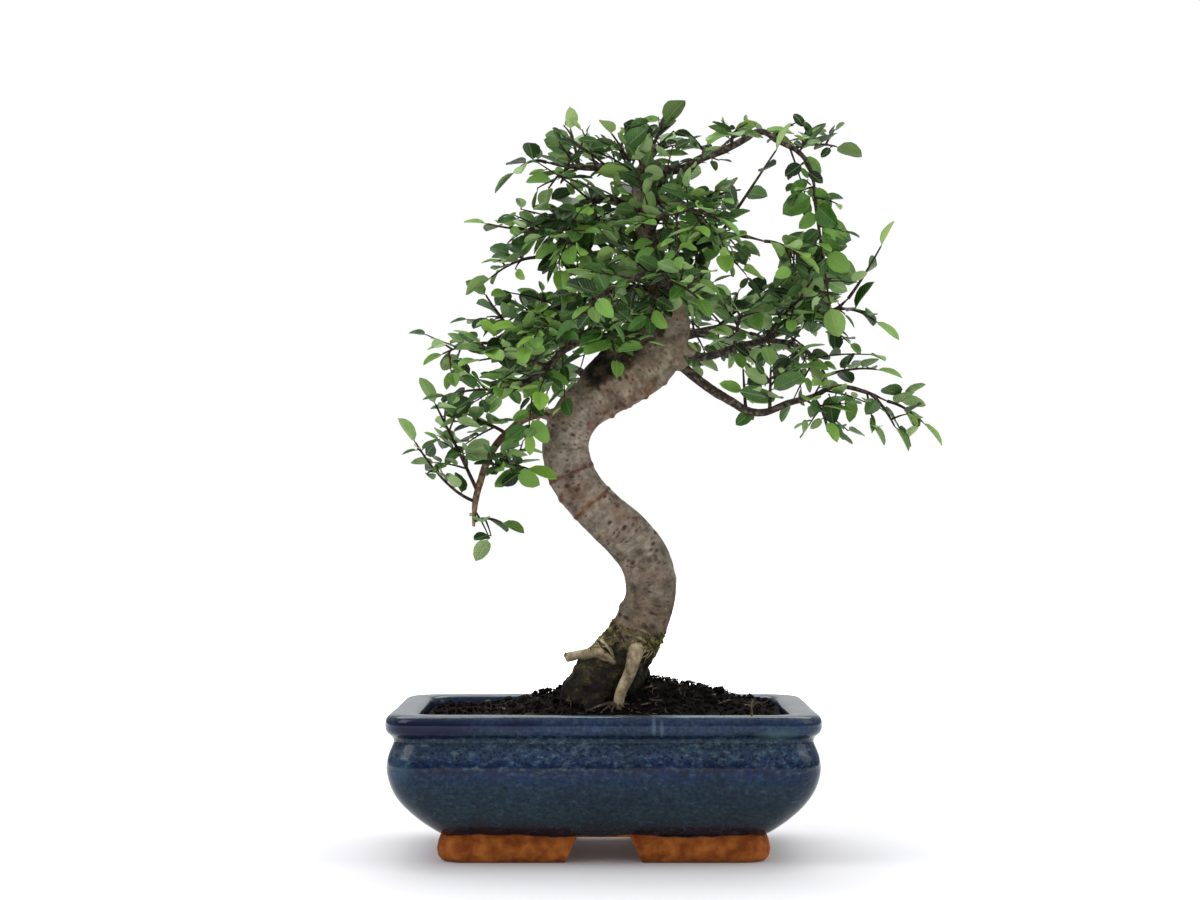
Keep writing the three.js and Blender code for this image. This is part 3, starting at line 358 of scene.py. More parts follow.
def noise_at(place: Array, size: float) -> Array:
    """Return the soft noise at rows of places in millimetres."""
    return np.array([soft_noise(Vector(point) * MM, size) for point in place])


def extrude_rim(rise: float, scale: Point, centre: Array) -> None:
    """Extrude the selected rim by this many millimetres upwards, and stretch it about a centre."""
    bpy.ops.mesh.extrude_edges_move(TRANSFORM_OT_translate={"value": (0, 0, rise * MM)})
    bpy.ops.transform.resize(value=scale, center_override=tuple(centre))


def settle(obj: Object, materials: Sequence[Material], nodes: Iterable[str] = (),
           smooth: float = 40) -> Object:
    """Finish a piece: its shading, materials and the CAD nodes that it stands for.

    Args:
        obj: The piece, at the origin.
        materials: Materials, where the mesh has none yet.
        nodes: CAD nodes that it replaces.
        smooth: Edges flatter than this many degrees are shaded smooth.

    Returns:
        The same piece.
    """
    for material in materials:
        obj.data.materials.append(material)
    make_active(obj)
    bpy.ops.object.shade_smooth_by_angle(angle=math.radians(smooth))
    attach(obj, BODY)
    if nodes:
        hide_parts(*nodes)
    LOG.info("%s: %d faces", obj.name, len(obj.data.polygons))
    return obj


def linear(hex_colour: str) -> tuple[float, float, float, float]:
    """Turn an sRGB hex colour to the linear colour that a shader takes.

    Args:
        hex_colour: Such as "#1b2b45".

    Returns:
        Red, green, blue and alpha.
    """
    parts = [int(hex_colour[i:i + 2], 16) / 255 for i in (1, 3, 5)]
    red, green, blue = (c / 12.92 if c <= 0.04045 else ((c + 0.055) / 1.055) ** 2.4 for c in parts)
    return red, green, blue, 1.0


def per_metre(size: float) -> float:
    """Return the texture scale whose pattern repeats every so many millimetres."""
    return 1 / (size * MM)


class NodeTree:
    """The nodes of a material or world under construction."""

    def __init__(self, owner: Material | bpy.types.World) -> None:
        """Start with no nodes."""
        owner.use_nodes = True
        self.tree = owner.node_tree
        self.tree.nodes.clear()

    def add(self, kind: str, *sockets: object, stops: Iterable[tuple[float, str]] = (),
            **named: object) -> Node:
        """Add a node with its settings and links.

        Args:
            kind: The node's type, without "ShaderNode".
            sockets: What its first inputs get, in order: a value, or the node or socket they are linked to.
            stops: Places and hex colours, for a colour ramp.
            named: Other inputs, under names with a capital and underscores for spaces, and the node's own
                properties, under names in small letters.

        Returns:
            The new node.
        """
        node = self.tree.nodes.new(f"ShaderNode{kind}")
        for place, value in enumerate(sockets):
            self.feed(node.inputs[place], value)
        for key, value in named.items():
            if key.islower():
                setattr(node, key, value)
            else:
                self.feed(node.inputs[key.replace("_", " ")], value)
        for number, (position, colour) in enumerate(stops):
            elements = node.color_ramp.elements
            if number == 0:
                elements.remove(elements[-1])
                elements[0].position = position
            (elements.new(position) if number else elements[0]).color = linear(colour)
        return node

    def feed(self, socket: bpy.types.NodeSocket, value: object) -> None:
        """Link an input to a node or socket, or give it a value or a hex colour."""
        if isinstance(value, Node):
            value = value.outputs[0]
        if isinstance(value, bpy.types.NodeSocket):
            self.tree.links.new(value, socket)
        else:
            socket.default_value = linear(value) if isinstance(value, str) else value


class NodeSheet(NodeTree):
    """A node material under construction, with its shader and its Object coordinates."""

    def __init__(self, name: str) -> None:
        """Start a material of this name."""
        self.material = bpy.data.materials.new(name)
        super().__init__(self.material)
        self.surface = self.add("BsdfPrincipled")
        self.add("OutputMaterial", self.surface)
        self.place = self.add("TexCoord").outputs["Object"]

    def finish(self, **inputs: object) -> Material:
        """Set or link the shader's inputs.

        Args:
            inputs: The shader's inputs, with underscores for the spaces in their names.

        Returns:
            The finished material.
        """
        for key, value in inputs.items():
            self.feed(self.surface.inputs[key.replace("_", " ")], value)
        return self.material


@dataclass(frozen=True)
class GlazedStoneware:
    """Stoneware dipped in two cobalt glazes and fired, bare clay on the feet.

    The glazes ran before they set, so their borders waver. Where they overlap under the rim they broke into
    dark and teal flecks, and on the rim's edge they ran thin and show grey-green, paler there also as a
    painted highlight. Under the rim a dark band is painted shadow.
    """

    # Height above the ground in mm, and colour, from the base to the rim's top. The dark stop at 60.2 mm is a
    # painted shadow under the rim; the pale stops at 69.5 and 70 mm are glaze run thin and partly a painted
    # highlight
    bands: tuple[tuple[float, str], ...] = (
        (12, "#0a111c"), (18, "#14202d"), (22, "#172a34"), (32, "#142837"), (37.5, "#152a3c"),
        (40, "#0b2340"), (43.6, "#102646"), (44.2, "#0a1835"), (48, "#0f1f3e"), (51, "#1e304b"),
        (55, "#1a2b41"), (59, "#1b2c3c"), (60.2, "#0d1c30"), (63, "#1e334d"), (66, "#16263f"),
        (68.8, "#1a2a3f"), (69.5, "#33454f"), (70, "#3b4c57"))
    clay: tuple[str, str] = ("#854014", "#bb6d2d")
    # Marks in the glaze: centre round the pot's middle and half size in mm, colour, and how strong it is.
    # Thick cobalt on the rim's left, a pinhole, the two pale lines of the mould's seam, and grey-green runs.
    marks: tuple[tuple[Point, Point, str, float], ...] = (
        ((-80, -75, 64.5), (34, 8, 7), "#060c2c", 0.9), ((-38, -75, 66), (14, 8, 3), "#060c2c", 0.7),
        ((-44.9, -73.5, 37.4), (1.2, 3, 1.1), "#05070b", 0.75),
        ((22.8, -75, 65.5), (1.3, 4, 6.5), "#728599", 0.26), ((26.4, -75, 64), (1.2, 4, 6), "#728599", 0.24),
        ((80, -75, 60.5), (13, 5, 4.2), "#4a6668", 0.5), ((-94, -72, 45), (9, 9, 8), "#2d5060", 0.4))
    pot_height: float = 70
    clay_line: float = 12.6
    run: float = 2.4
    fleck: float = 1.7

    def build(self, layout: Layout) -> Material:
        """Return the material, its marks placed by the layout."""
        sheet = NodeSheet("cobalt_glazed_stoneware")
        add, place = sheet.add, sheet.place
        height = add("SeparateXYZ", place).outputs["Z"]
        wander = add("TexNoise", place, Scale=per_metre(16), Detail=4.0)
        sway = add("MapRange", wander, 0.25, 0.75, -self.run / 2 * MM, self.run / 2 * MM)
        # Near the rim's top the glaze lies level
        calm = add("MapRange", height, 60 * MM, 67 * MM, 1.0, 0.15)
        level = add("Math", sway, calm, height, operation="MULTIPLY_ADD")
        share = add("Math", level, self.pot_height * MM, operation="DIVIDE")
        glaze = add("ValToRGB", share, stops=[(z / self.pot_height, tint) for z, tint in self.bands])
        # Broken glaze: dark flecks and teal ones, strongest between the cobalt band and the groove
        cells = add("TexVoronoi", place, Scale=per_metre(self.fleck))
        broken = add("ValToRGB", share, stops=[(0.2, "#8a8a8a"), (0.6, "#a0a0a0"), (0.65, "#d8d8d8"),
                                                     (0.74, "#ffffff"), (0.84, "#e0e0e0"), (0.88, "#9a9a9a"),
                                                     (0.97, "#707070")])
        spots = add("MapRange", cells.outputs["Distance"], 0.5, 0.2)
        darkness = add("Math", spots, broken, operation="MULTIPLY")
        faded = add("Math", darkness, 0.95, operation="MULTIPLY")
        dark = add("MixRGB", faded, glaze, "#03070f")
        streak_place = add("Mapping", place, Scale=(0.45, 0.45, 0.8))
        streak = add("TexNoise", streak_place, Scale=per_metre(1.9), Detail=6.0, Roughness=0.7)
        pale = add("MapRange", streak, 0.5, 0.66, To_Max=0.72)
        teal_share = add("Math", pale, broken, operation="MULTIPLY")
        teal = add("MixRGB", teal_share, dark, "#4a6068")
        # Clouds of a few centimetres, and a fine grain
        cloud, mist = (add("TexNoise", place, Scale=per_metre(size), Detail=detail)
                       for size, detail in ((22, 3), (1.9, 4)))
        shade = add("MapRange", cloud, To_Min=0.4, To_Max=1.68)
        grainy = add("MapRange", mist, 0.3, 0.7, 0.5, 1.55)
        both = add("Math", shade, grainy, operation="MULTIPLY")
        mottled = add("MixRGB", 1.0, teal, both, blend_type="MULTIPLY")
        for centre, half, tint, strength in self.marks:
            offset = add("VectorMath", place, tuple(layout.metres(centre)), operation="SUBTRACT")
            scaled = add("VectorMath", offset, [per_metre(size) for size in half], operation="MULTIPLY")
            away = add("VectorMath", scaled, operation="LENGTH").outputs["Value"]
            mark = add("MapRange", away, 1.0, 0.4, To_Max=strength)
            mottled = add("MixRGB", mark, mottled, tint)
        # Bare clay: coarse grain, with darker scorched patches
        grain = add("TexNoise", place, Scale=per_metre(5), Detail=8.0)
        clay = add("ValToRGB", grain, stops=[(0.36, self.clay[0]), (0.67, self.clay[1])])
        bare = add("MapRange", level, (self.clay_line + 0.35) * MM, (self.clay_line - 0.35) * MM)
        colour = add("MixRGB", bare, mottled, clay)
        roughness = add("MapRange", bare, To_Min=0.14, To_Max=0.85)
        peel = add("TexNoise", place, Scale=per_metre(2.2), Detail=2.0)
        coarse = add("TexNoise", place, Scale=per_metre(0.7), Detail=3.0)
        height_mix = add("MixRGB", bare, peel, coarse)
        bump_depth = add("MapRange", bare, To_Min=0.03 * MM, To_Max=0.25 * MM)
        bump = add("Bump", Strength=1.0, Distance=bump_depth, Height=height_mix)
        return sheet.finish(Base_Color=colour, Roughness=roughness, Normal=bump, Specular_IOR_Level=0.25)


@dataclass(frozen=True)
class MottledFinish:
    """A finish with soft patches of a few colours, and often a fine grain in relief."""

    name: str
    colours: tuple[str, ...]
    stops: tuple[float, ...]
    # Size in mm and detail of the patches, and of the grain
    patch: Pair
    grain: Pair = (1, 2)
    # How strong the grain's relief is, and its height in mm
    relief: Pair = (0, 0)
    roughness: float = 0.9
    specular: float = 0.5
    unrest: float = 0.5

    def build(self) -> Material:
        """Return the material."""
        sheet = NodeSheet(self.name)
        add, place = sheet.add, sheet.place
        size, detail = self.patch
        patches = add("TexNoise", place, Scale=per_metre(size), Detail=detail, Roughness=self.unrest)
        colour = add("ValToRGB", patches, stops=zip(self.stops, self.colours))
        strength, height = self.relief
        if strength:
            size, detail = self.grain
            grain = add("TexNoise", place, Scale=per_metre(size), Detail=detail)
            bump = add("Bump", Strength=strength, Distance=height * MM, Height=grain)
            sheet.finish(Normal=bump)
        return sheet.finish(Base_Color=colour, Roughness=self.roughness, Specular_IOR_Level=self.specular)


# Damp peat and bark humus: near black, matt, with brown crumbs
DAMP_PEAT = MottledFinish("damp_peat", ("#040303", "#0e0b08", "#221a12"), (0.35, 0.55, 0.75), patch=(2.5, 6),
                          grain=(0.8, 4), relief=(1, 0.5), roughness=0.95, specular=0.12, unrest=0.7)
# Dry bark fibre and root hair: matt straw to brown
DRY_FIBRE = MottledFinish(
    "dry_bark_fibre", ("#1c150f", "#3d3023", "#75664c"), (0.38, 0.52, 0.68), patch=(9, 5))
ROOT_HAIR = replace(DRY_FIBRE, name="pale_root_hair", colours=("#241d11", "#6b6140", "#b0a57c"))
# Short moss: matt olive green with yellow tips
SHORT_MOSS = MottledFinish(
    "short_moss", ("#17130b", "#565029", "#9a9057"), (0.35, 0.5, 0.7), patch=(3, 5), roughness=1)
# Bark of boughs and twigs: dark brown with paler specks. A lighter copy is painted light, for the bough that
# is out in the sun
TWIG_BARK = MottledFinish("elm_twig_bark", ("#17110e", "#3d332b", "#6c6154"), (0.34, 0.52, 0.7), patch=(2, 6),
                          grain=(0.8, 4), relief=(0.7, 0.25), roughness=0.85, specular=0.3)
# Painted light: the low left bough's bark is a lighter copy, as if lit by the sun
LIT_TWIG_BARK = replace(TWIG_BARK, name="painted_lit_elm_bark", colours=("#4a392b", "#78604c", "#9a8369"))
YOUNG_BARK = replace(TWIG_BARK, name="young_elm_twig", colours=("#16100d", "#32261f", "#5b493b"))
# Black extruded polyethylene net: dull
NET_PLASTIC = MottledFinish("black_net_polyethylene", ("#101010", "#2a2723"), (0.45, 0.75), patch=(4, 4),
                            grain=(4, 4), relief=(0.5, 0.05), roughness=0.5)


@dataclass(frozen=True)
class ElmBark:
    """Young elm bark: smooth, grey-brown with a pink cast, freckled with dark pores.

    The colour attribute `bark_zone` says where it changes: red for rusty scars and skin, green for moss, blue
    for the dark rugged bark near the soil and for painted shade on the upper bend and in a crease, and alpha
    for pale bare roots.
    """

    colours: tuple[str, ...] = ("#544c42", "#7b7064", "#948a7d", "#a89e92")
    # Painted shade by height in mm: the bark is painted darker near the soil and again under the crown, with
    # a faint olive cast up high
    height_shade: tuple[tuple[float, str], ...] = (
        (90, "#aca79c"), (125, "#cbc6bf"), (160, "#f4f2ef"), (190, "#ffffff"), (212, "#f8f6ee"),
        (230, "#e0ddcf"), (262, "#d2cec0"))
    pore: float = 3.6
    lenticel: float = 1.9

    def build(self) -> Material:
        """Return the material."""
        sheet = NodeSheet("young_elm_bark")
        add, place = sheet.add, sheet.place
        skin = add("UVMap", uv_map="bark_run")
        zones = add("Attribute", attribute_name="bark_zone")
        zone = add("SeparateColor", zones.outputs["Color"])
        patches = add("TexNoise", place, Scale=per_metre(7), Detail=8.0, Roughness=0.68)
        bark = add("ValToRGB", patches, stops=zip((0.33, 0.45, 0.56, 0.66), self.colours))
        # The skin runs in fine rings round the trunk
        ring_place = add("Mapping", skin, Scale=(0.4, 1.0, 1.0))
        rings = add("TexNoise", ring_place, Scale=BARK_RUN / self.lenticel, Detail=4.0, Roughness=0.7)
        ringed = add("MapRange", rings, 0.32, 0.68, 0.62, 1.3)
        height = add("SeparateXYZ", place).outputs["Z"]
        level = add("Math", height, per_metre(self.height_shade[-1][0]), operation="MULTIPLY")
        top = self.height_shade[-1][0]
        # Painted shade: a ramp by height darkens the bark low down and under the crown
        height_shade = add("ValToRGB", level, stops=[(z / top, tint) for z, tint in self.height_shade])
        for shade in (ringed, height_shade):
            bark = add("MixRGB", 1.0, bark, shade, blend_type="MULTIPLY")
        blush = add("TexNoise", place, Scale=per_metre(17), Detail=5.0)
        for low, high, most, tint in ((0.48, 0.68, 0.5, "#7d6350"), (0.46, 0.3, 0.5, "#5d6150")):
            share = add("MapRange", blush, low, high, To_Max=most)
            bark = add("MixRGB", share, bark, tint)
        # Pores and cork spots are drawn about twice as coarse as real ones, so that they show
        pore_place = add("Mapping", skin, Scale=(0.6, 1.0, 1.0))
        sunk = add("TexNoise", place, Scale=per_metre(0.9), Detail=5.0)
        for space, reach, least, tint in (
                (self.pore, 0.38, 0.5, "#2a1f18"), (self.lenticel, 0.42, 0.45, "#553c2b")):
            pores = add("TexVoronoi", pore_place, Scale=BARK_RUN / space)
            near = add("MapRange", pores.outputs["Distance"], reach, 0.16)
            some = add("MapRange", pores.outputs["Color"], least, least + 0.2, To_Max=0.9)
            pored = add("Math", near, some, operation="MULTIPLY")
            bark = add("MixRGB", pored, bark, tint)
            sunk = add("Math", sunk, pored, operation="SUBTRACT")
        # Blue darkens both the rugged bark near the soil and the painted shade on the upper bend and in a
        # crease
        tones = {"Red": [(0.36, "#38241a"), (0.52, "#60402b"), (0.66, "#855936")],
                 "Blue": [(0.35, "#050403"), (0.47, "#12100b"), (0.58, "#2b2617"), (0.68, "#5c4e31")],
                 "Alpha": [(0.33, "#564b39"), (0.45, "#8b7c62"), (0.6, "#b3a588"), (0.68, "#c4b89e")],
                 "Green": [(0.38, "#15120a"), (0.5, "#464023"), (0.62, "#857d52")]}
        for name, stops in tones.items():
            share = zones.outputs["Alpha"] if name == "Alpha" else zone.outputs[name]
            tone = add("ValToRGB", patches, stops=stops)
            bark = add("MixRGB", share, bark, tone)
        bump = add("Bump", Strength=0.9, Distance=0.4 * MM, Height=sunk)
        return sheet.finish(Base_Color=bark, Roughness=0.85, Normal=bump, Specular_IOR_Level=0.25)


@dataclass(frozen=True)
class ElmLeaf:
    """One side of an elm leaf, veined like a feather.

    The attribute `leaf_tone` holds the leaf's youth in red and its tone in green, which is random, with the
    small leaves of the newest growth at the top darkened as painted shade. The UV map `leaf_run` counts 20 mm
    a unit, across the leaf from the midrib at 0.5, and along it.
    """

    name: str
    colours: tuple[str, str, str]
    young: str
    vein: str
    roughness: float
    vein_space: float = 1.7

    def build(self) -> Material:
        """Return the material."""
        sheet = NodeSheet(self.name)
        add, place = sheet.add, sheet.place
        tone = add("SeparateColor", add("Attribute", attribute_name="leaf_tone").outputs["Color"])
        run = add("SeparateXYZ", add("UVMap", uv_map="leaf_run"))
        centred = add("Math", run.outputs["X"], 0.5, operation="SUBTRACT")
        aside = add("Math", centred, operation="ABSOLUTE")
        midrib = add("MapRange", aside, 0.45 / LEAF_RUN, 0.15 / LEAF_RUN)
        # Side veins leave the midrib at about 50 degrees
        slant = add("Math", aside, -0.85, run.outputs["Y"], operation="MULTIPLY_ADD")
        turns = add("Math", slant, 2 * math.pi * LEAF_RUN / self.vein_space, operation="MULTIPLY")
        wave = add("Math", turns, operation="SINE")
        side_vein = add("MapRange", wave, 0.72, 1.0, To_Max=0.55)
        veins = add("Math", midrib, side_vein, operation="MAXIMUM")
        blotch = add("TexNoise", place, Scale=per_metre(5), Detail=3.0)
        shade = add("Math", blotch, 0.35, tone.outputs["Green"], operation="MULTIPLY_ADD")
        green = add("ValToRGB", shade, stops=zip((0.25, 0.66, 1.0), self.colours))
        fresh = add("MixRGB", tone.outputs["Red"], green, self.young)
        faint = add("Math", veins, 0.32, operation="MULTIPLY")
        colour = add("MixRGB", faint, fresh, self.vein)
        bump = add("Bump", Strength=0.7, Distance=0.2 * MM, Height=veins, invert=True)
        return sheet.finish(Base_Color=colour, Roughness=self.roughness, Normal=bump, Specular_IOR_Level=0.28)


@dataclass
class GlazedPot:
    """The stoneware pot: body, rolled rim, drain holes and four L-shaped feet."""

    layout: Layout
    width: float = 202
    depth: float = 150
    corner: float = 15
    corner_shrink: float = 0.175
    foot_height: float = 12
    foot_inner: float = 33
    notch_top: float = 25
    notch_bottom: float = 36
    drain_radius: float = 8
    drain_offset: float = 38
    # Inset from the pot's outermost line, and height, up the outside, over the rolled rim and down inside
    profile: tuple[Pair, ...] = (
        (25.8, 12), (24.6, 12.5), (22.6, 13.7), (19.2, 16.3), (15.8, 19), (12.8, 21.8), (10, 24.6),
        (6.9, 28.2), (3.9, 32.8), (1.9, 37.6), (0.7, 42.6), (0.5, 46.5), (1.1, 50.4), (2.4, 53.6),
        (3.6, 56.4), (3.9, 58.4), (3.1, 59.9), (1.4, 61.1), (0.2, 62.9), (0, 65.4), (0.2, 67.6), (1.2, 69.3),
        (3.2, 70.1), (7, 70.2), (12, 70.1), (14.2, 69.2), (15, 66), (15, 46), (16, 36), (22, 26), (31, 19.6),
        (34, 19))
    foot_profile: tuple[Pair, ...] = (
        (27.5, 0), (25, 0.7), (23.6, 2.6), (23, 6), (23.8, 10), (25, 13))

    def ring(self, name: str, inset: float, z: float) -> Object:
        """Make a level plate in the pot's outline.

        Args:
            name: The object's name.
            inset: How far it lies inside the pot's outermost line.
            z: Its height.

        Returns:
            A rounded plate, one many-sided face, with extra points along its sides.
        """
        half = (self.width / 2 - inset, self.depth / 2 - inset)
        plate = add_primitive(bpy.ops.mesh.primitive_plane_add, name, size=2 * MM, scale=(*half, 1))
        plate.data.transform(Matrix.Translation(self.layout.metres((0, 0, z))))
        make_active(plate)
        bpy.ops.object.mode_set(mode="EDIT")
        bpy.ops.mesh.select_all(action="SELECT")
        corner = (self.corner - inset * self.corner_shrink) * MM
        bpy.ops.mesh.bevel(offset=corner, segments=5, affect="VERTICES")
        bpy.ops.mesh.select_mode(type="EDGE")
        mesh = bmesh.from_edit_mesh(plate.data)
        for edge in mesh.edges:
            edge.select_set(edge.calc_length() > 30 * MM)
        bmesh.update_edit_mesh(plate.data)
        bpy.ops.mesh.subdivide(number_cuts=9)
        bpy.ops.mesh.select_all(action="SELECT")
        return plate

    def raise_profile(self, name: str, profile: Sequence[Pair]) -> Object:
        """Extrude a plate from station to station of a profile and close the last one.

        Args:
            name: The object's name.
            profile: Inset and height of each station.

        Returns:
            A closed shell in object mode.
        """
        shell = self.ring(name, *profile[0])
        centre = self.layout.metres((0, 0, 0))
        bpy.ops.mesh.select_all(action="SELECT")
        bpy.ops.mesh.region_to_loop()
        for (inset, z), (next_inset, next_z) in zip(profile, profile[1:]):
            shrink = [(size / 2 - next_inset) / (size / 2 - inset) for size in (self.width, self.depth)]
            extrude_rim(next_z - z, (*shrink, 1), centre)
        bpy.ops.mesh.edge_face_add()
        bpy.ops.mesh.inset(thickness=1.5 * MM)
        bpy.ops.mesh.select_all(action="SELECT")
        bpy.ops.mesh.normals_make_consistent(inside=False)
        deselect_all()
        return shell

    def make_feet(self) -> Object:
        """Make the foot wall, cut into four feet.

        Returns:
            The feet as one object.
        """
        feet = self.raise_profile("feet", self.foot_profile)
        inner = self.raise_profile("inner", ((self.foot_inner, -1), (self.foot_inner, self.foot_height)))
        combine(feet, inner, "DIFFERENCE")
        rise = self.foot_height + 2
        slope = (self.notch_bottom - self.notch_top) / self.foot_height
        for turned in (False, True):
            bottom = self.notch_bottom + slope * 2
            size = (self.width, bottom, rise) if turned else (bottom, self.depth, rise)
            middle = self.layout.metres((0, 0, rise / 2 - 2))
            notch = add_primitive(bpy.ops.mesh.primitive_cube_add, "notch", size=MM, scale=size)
            notch.data.transform(Matrix.Translation(middle))
            make_active(notch)
            pick(notch, lambda co: co.z > middle[2])
            narrow = self.notch_top / bottom
            bpy.ops.transform.resize(value=(1, narrow, 1) if turned else (narrow, 1, 1),
                                     center_override=tuple(middle))
            deselect_all()
            combine(feet, notch, "DIFFERENCE")
        apply_modifier(feet, "BEVEL", width=0.9 * MM, segments=3, limit_method="ANGLE",
                       angle_limit=math.radians(40))
        return feet

    def build(self, glaze: Material) -> Object:
        """Make the pot and put it in the place of its CAD node.

        Args:
            glaze: The glaze and clay material.

        Returns:
            The pot.
        """
        pot = self.raise_profile("glazed_pot", self.profile)
        apply_modifier(pot, "SUBSURF", levels=2, render_levels=2)
        # Pressed and fired clay is never quite even
        relief(pot, lambda co: (0.3 * soft_noise(co, 42) + 0.07 * soft_noise(co, 8)) * MM)
        self.fit(pot)
        combine(pot, self.make_feet(), "UNION")
        for side in (-1, 1):
            drain = add_primitive(
                bpy.ops.mesh.primitive_cylinder_add, "drain", vertices=48, radius=self.drain_radius * MM,
                depth=20 * MM, location=tuple(self.layout.metres((side * self.drain_offset, 0, 16))))
            combine(pot, drain, "DIFFERENCE")
        return settle(pot, [glaze], ["pot"], smooth=38)

    def fit(self, pot: Object) -> None:
        """Bring the fired body back to the exact width, depth and top height of the CAD pot.

        Args:
            pot: The body without its feet.
        """
        low, high = (np.array(corner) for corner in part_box("pot"))
        low[2] += self.foot_height * MM
        points = points_of(pot)
        own_low, own_high = points.min(0), points.max(0)
        points = low + (points - own_low) * (high - low) / (own_high - own_low)
        set_points(pot, points)


@dataclass
class DrainNet:
    """A square of black net over one drain hole, lying on the pot's floor."""

    layout: Layout
    cells: int = 7
    strand: float = 0.9

    def build(self, node: str, plastic: Material) -> Object:
        """Make one net in the box of its CAD node.

        Args:
            node: The CAD node.
            plastic: The net's material.

        Returns:
            The net.
        """
        low, high = (np.array(corner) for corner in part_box(node))
        middle = (low + high) / 2
        net = add_primitive(bpy.ops.mesh.primitive_grid_add, f"{node}_net", x_subdivisions=self.cells,
                            y_subdivisions=self.cells, size=1, location=tuple(middle))
        points = points_of(net)
        points[:, :2] = middle[:2] + (points[:, :2] - middle[:2]) * ((high - low)[:2] - self.strand * MM)
        set_points(net, points)
        apply_modifier(net, "WIREFRAME", thickness=self.strand * MM, use_boundary=True, use_even_offset=False)
        return settle(net, [plastic], [node])


@dataclass
class Soil:
    """The soil that fills the pot, mounded round the trunk, with its crumbs, bark chips and fibres."""

    layout: Layout
    half: Pair = (85, 60)
    corner: float = 12
    gap: float = 0.4
    edge_level: float = 65.5
    mound: Pair = (15, 8)
    mound_height: float = 17
    mound_spread: Pair = (40, 20)
    # Inset from the soil's top outline and height of the stations down to the pot's floor
    skirt: tuple[Pair, ...] = ((0, 46), (1, 36), (7, 26), (19, 19.4))
    # Where the pale root enters the soil, and its rootlets there: heading in degrees, length and radius
    root_foot: Pair = (6.5, -22)
    rootlets: tuple[Point, ...] = (
        (178, 17, 1.2), (205, 13, 0.9), (232, 11, 0.8), (158, 12, 0.8), (300, 9, 0.8), (345, 8, 0.6))
    # A pale splinter that stands in the soil right of the trunk
    splinter: tuple[RoutePoint, ...] = (
        (68.5, -52, 64, 0.5), (68.9, -52, 68, 0.5), (68.6, -52.4, 72.5, 0.45), (69.2, -53, 76, 0.3))
    # Crumbs, chips and fibres lie thicker on the mound: their share there, and its middle and spread
    near_share: float = 0.35
    near: tuple[Pair, Pair] = ((18, -4), (30, 20))
    # Place and radius of the trunk, where none lie
    trunk: Point = (4, 0, 13)
    crumbs: int = 2600
    chips: int = 110
    fibres: int = 75
    seed: int = 7

    def level(self, x: float, y: float) -> float:
        """Return the smooth height of the soil at a place."""
        across = (x - self.mound[0]) / self.mound_spread[0]
        deep = (y - self.mound[1]) / self.mound_spread[1]
        return self.edge_level + self.mound_height * math.exp(-(across ** 2 + deep ** 2) / 2)

    def build(self, peat: Material, fibre: Material) -> None:
        """Make the bed, its crumbs and its fibres.

        Args:
            peat: The soil's material.
            fibre: The material of chips and fibres.
        """
        settle(self.make_bed(), [peat], ["soil"], smooth=60)
        rng = np.random.default_rng(self.seed)
        settle(self.make_crumbs(rng), [peat], smooth=20)
        settle(self.make_chips(rng), [fibre], smooth=20)
        settle(self.make_fibres(rng), [fibre])

    def make_bed(self) -> Object:
        """Make the closed body of soil, its top a relief of lumps.

        Returns:
            The bed.
        """
        half = np.array(self.half) - self.gap
        bed = add_primitive(bpy.ops.mesh.primitive_grid_add, "soil_bed", x_subdivisions=150,
                            y_subdivisions=106, size=2, scale=(*half, 1))
        for vertex in bed.data.vertices:
            place = np.array(vertex.co[:2])
            beyond = np.abs(place) - (half - self.corner)
            if beyond.min() > 0:
                # In a corner the square is drawn in to a quarter circle
                reach = beyond.max() / np.linalg.norm(beyond)
                place = np.sign(place) * (half - self.corner + beyond * reach)
            top = Vector((place[0], place[1], 0)) * MM
            lumps = 1.5 * soft_noise(top, 9) + 1.1 * soft_noise(top, 3.5) + 0.5 * soft_noise(top, 1.8)
            settled = min((half - np.abs(place)).min() / 6, 1)
            height = self.level(*place) + lumps * (0.4 + 0.6 * settled) - 0.8
            vertex.co = self.layout.metres((*place, height))
        make_active(bed)
        bpy.ops.object.mode_set(mode="EDIT")
        bpy.ops.mesh.select_all(action="SELECT")
        bpy.ops.mesh.region_to_loop()
        centre = self.layout.metres((0, 0, self.skirt[0][1]))
        # The first ring of the skirt is flattened to its height
        extrude_rim(-1, (1, 1, 0), centre)
        for (inset, z), (next_inset, next_z) in zip(self.skirt, self.skirt[1:]):
            shrink = [(size - next_inset) / (size - inset) for size in half]
            extrude_rim(next_z - z, (*shrink, 1), centre)
        bpy.ops.mesh.edge_face_add()
        bpy.ops.mesh.select_all(action="SELECT")
        bpy.ops.mesh.normals_make_consistent(inside=False)
        deselect_all()
        return bed

    def spots(self, rng: Chance, count: int, margin: float) -> list[Array]:
        """Choose places on the soil, more of them on the mound.

        Args:
            rng: The source of chance.
            count: How many.
            margin: How far they stay from the pot's wall.

        Returns:
            Places in millimetres, on the smooth surface.
        """
        found = []
        half = np.array(self.half) - self.gap - margin
        while len(found) < count:
            if rng.random() < self.near_share:
                place = rng.normal(*self.near)
            else:
                place = rng.uniform(-half, half)
            beyond = np.abs(place) - (half - self.corner)
            in_corner = beyond.min() > 0 and np.linalg.norm(beyond) > self.corner
            x, y, radius = self.trunk
            if (np.abs(place) > half).any() or in_corner or np.hypot(*(place - (x, y))) < radius:
                continue
            found.append(np.array((*place, self.level(*place))))
        return found

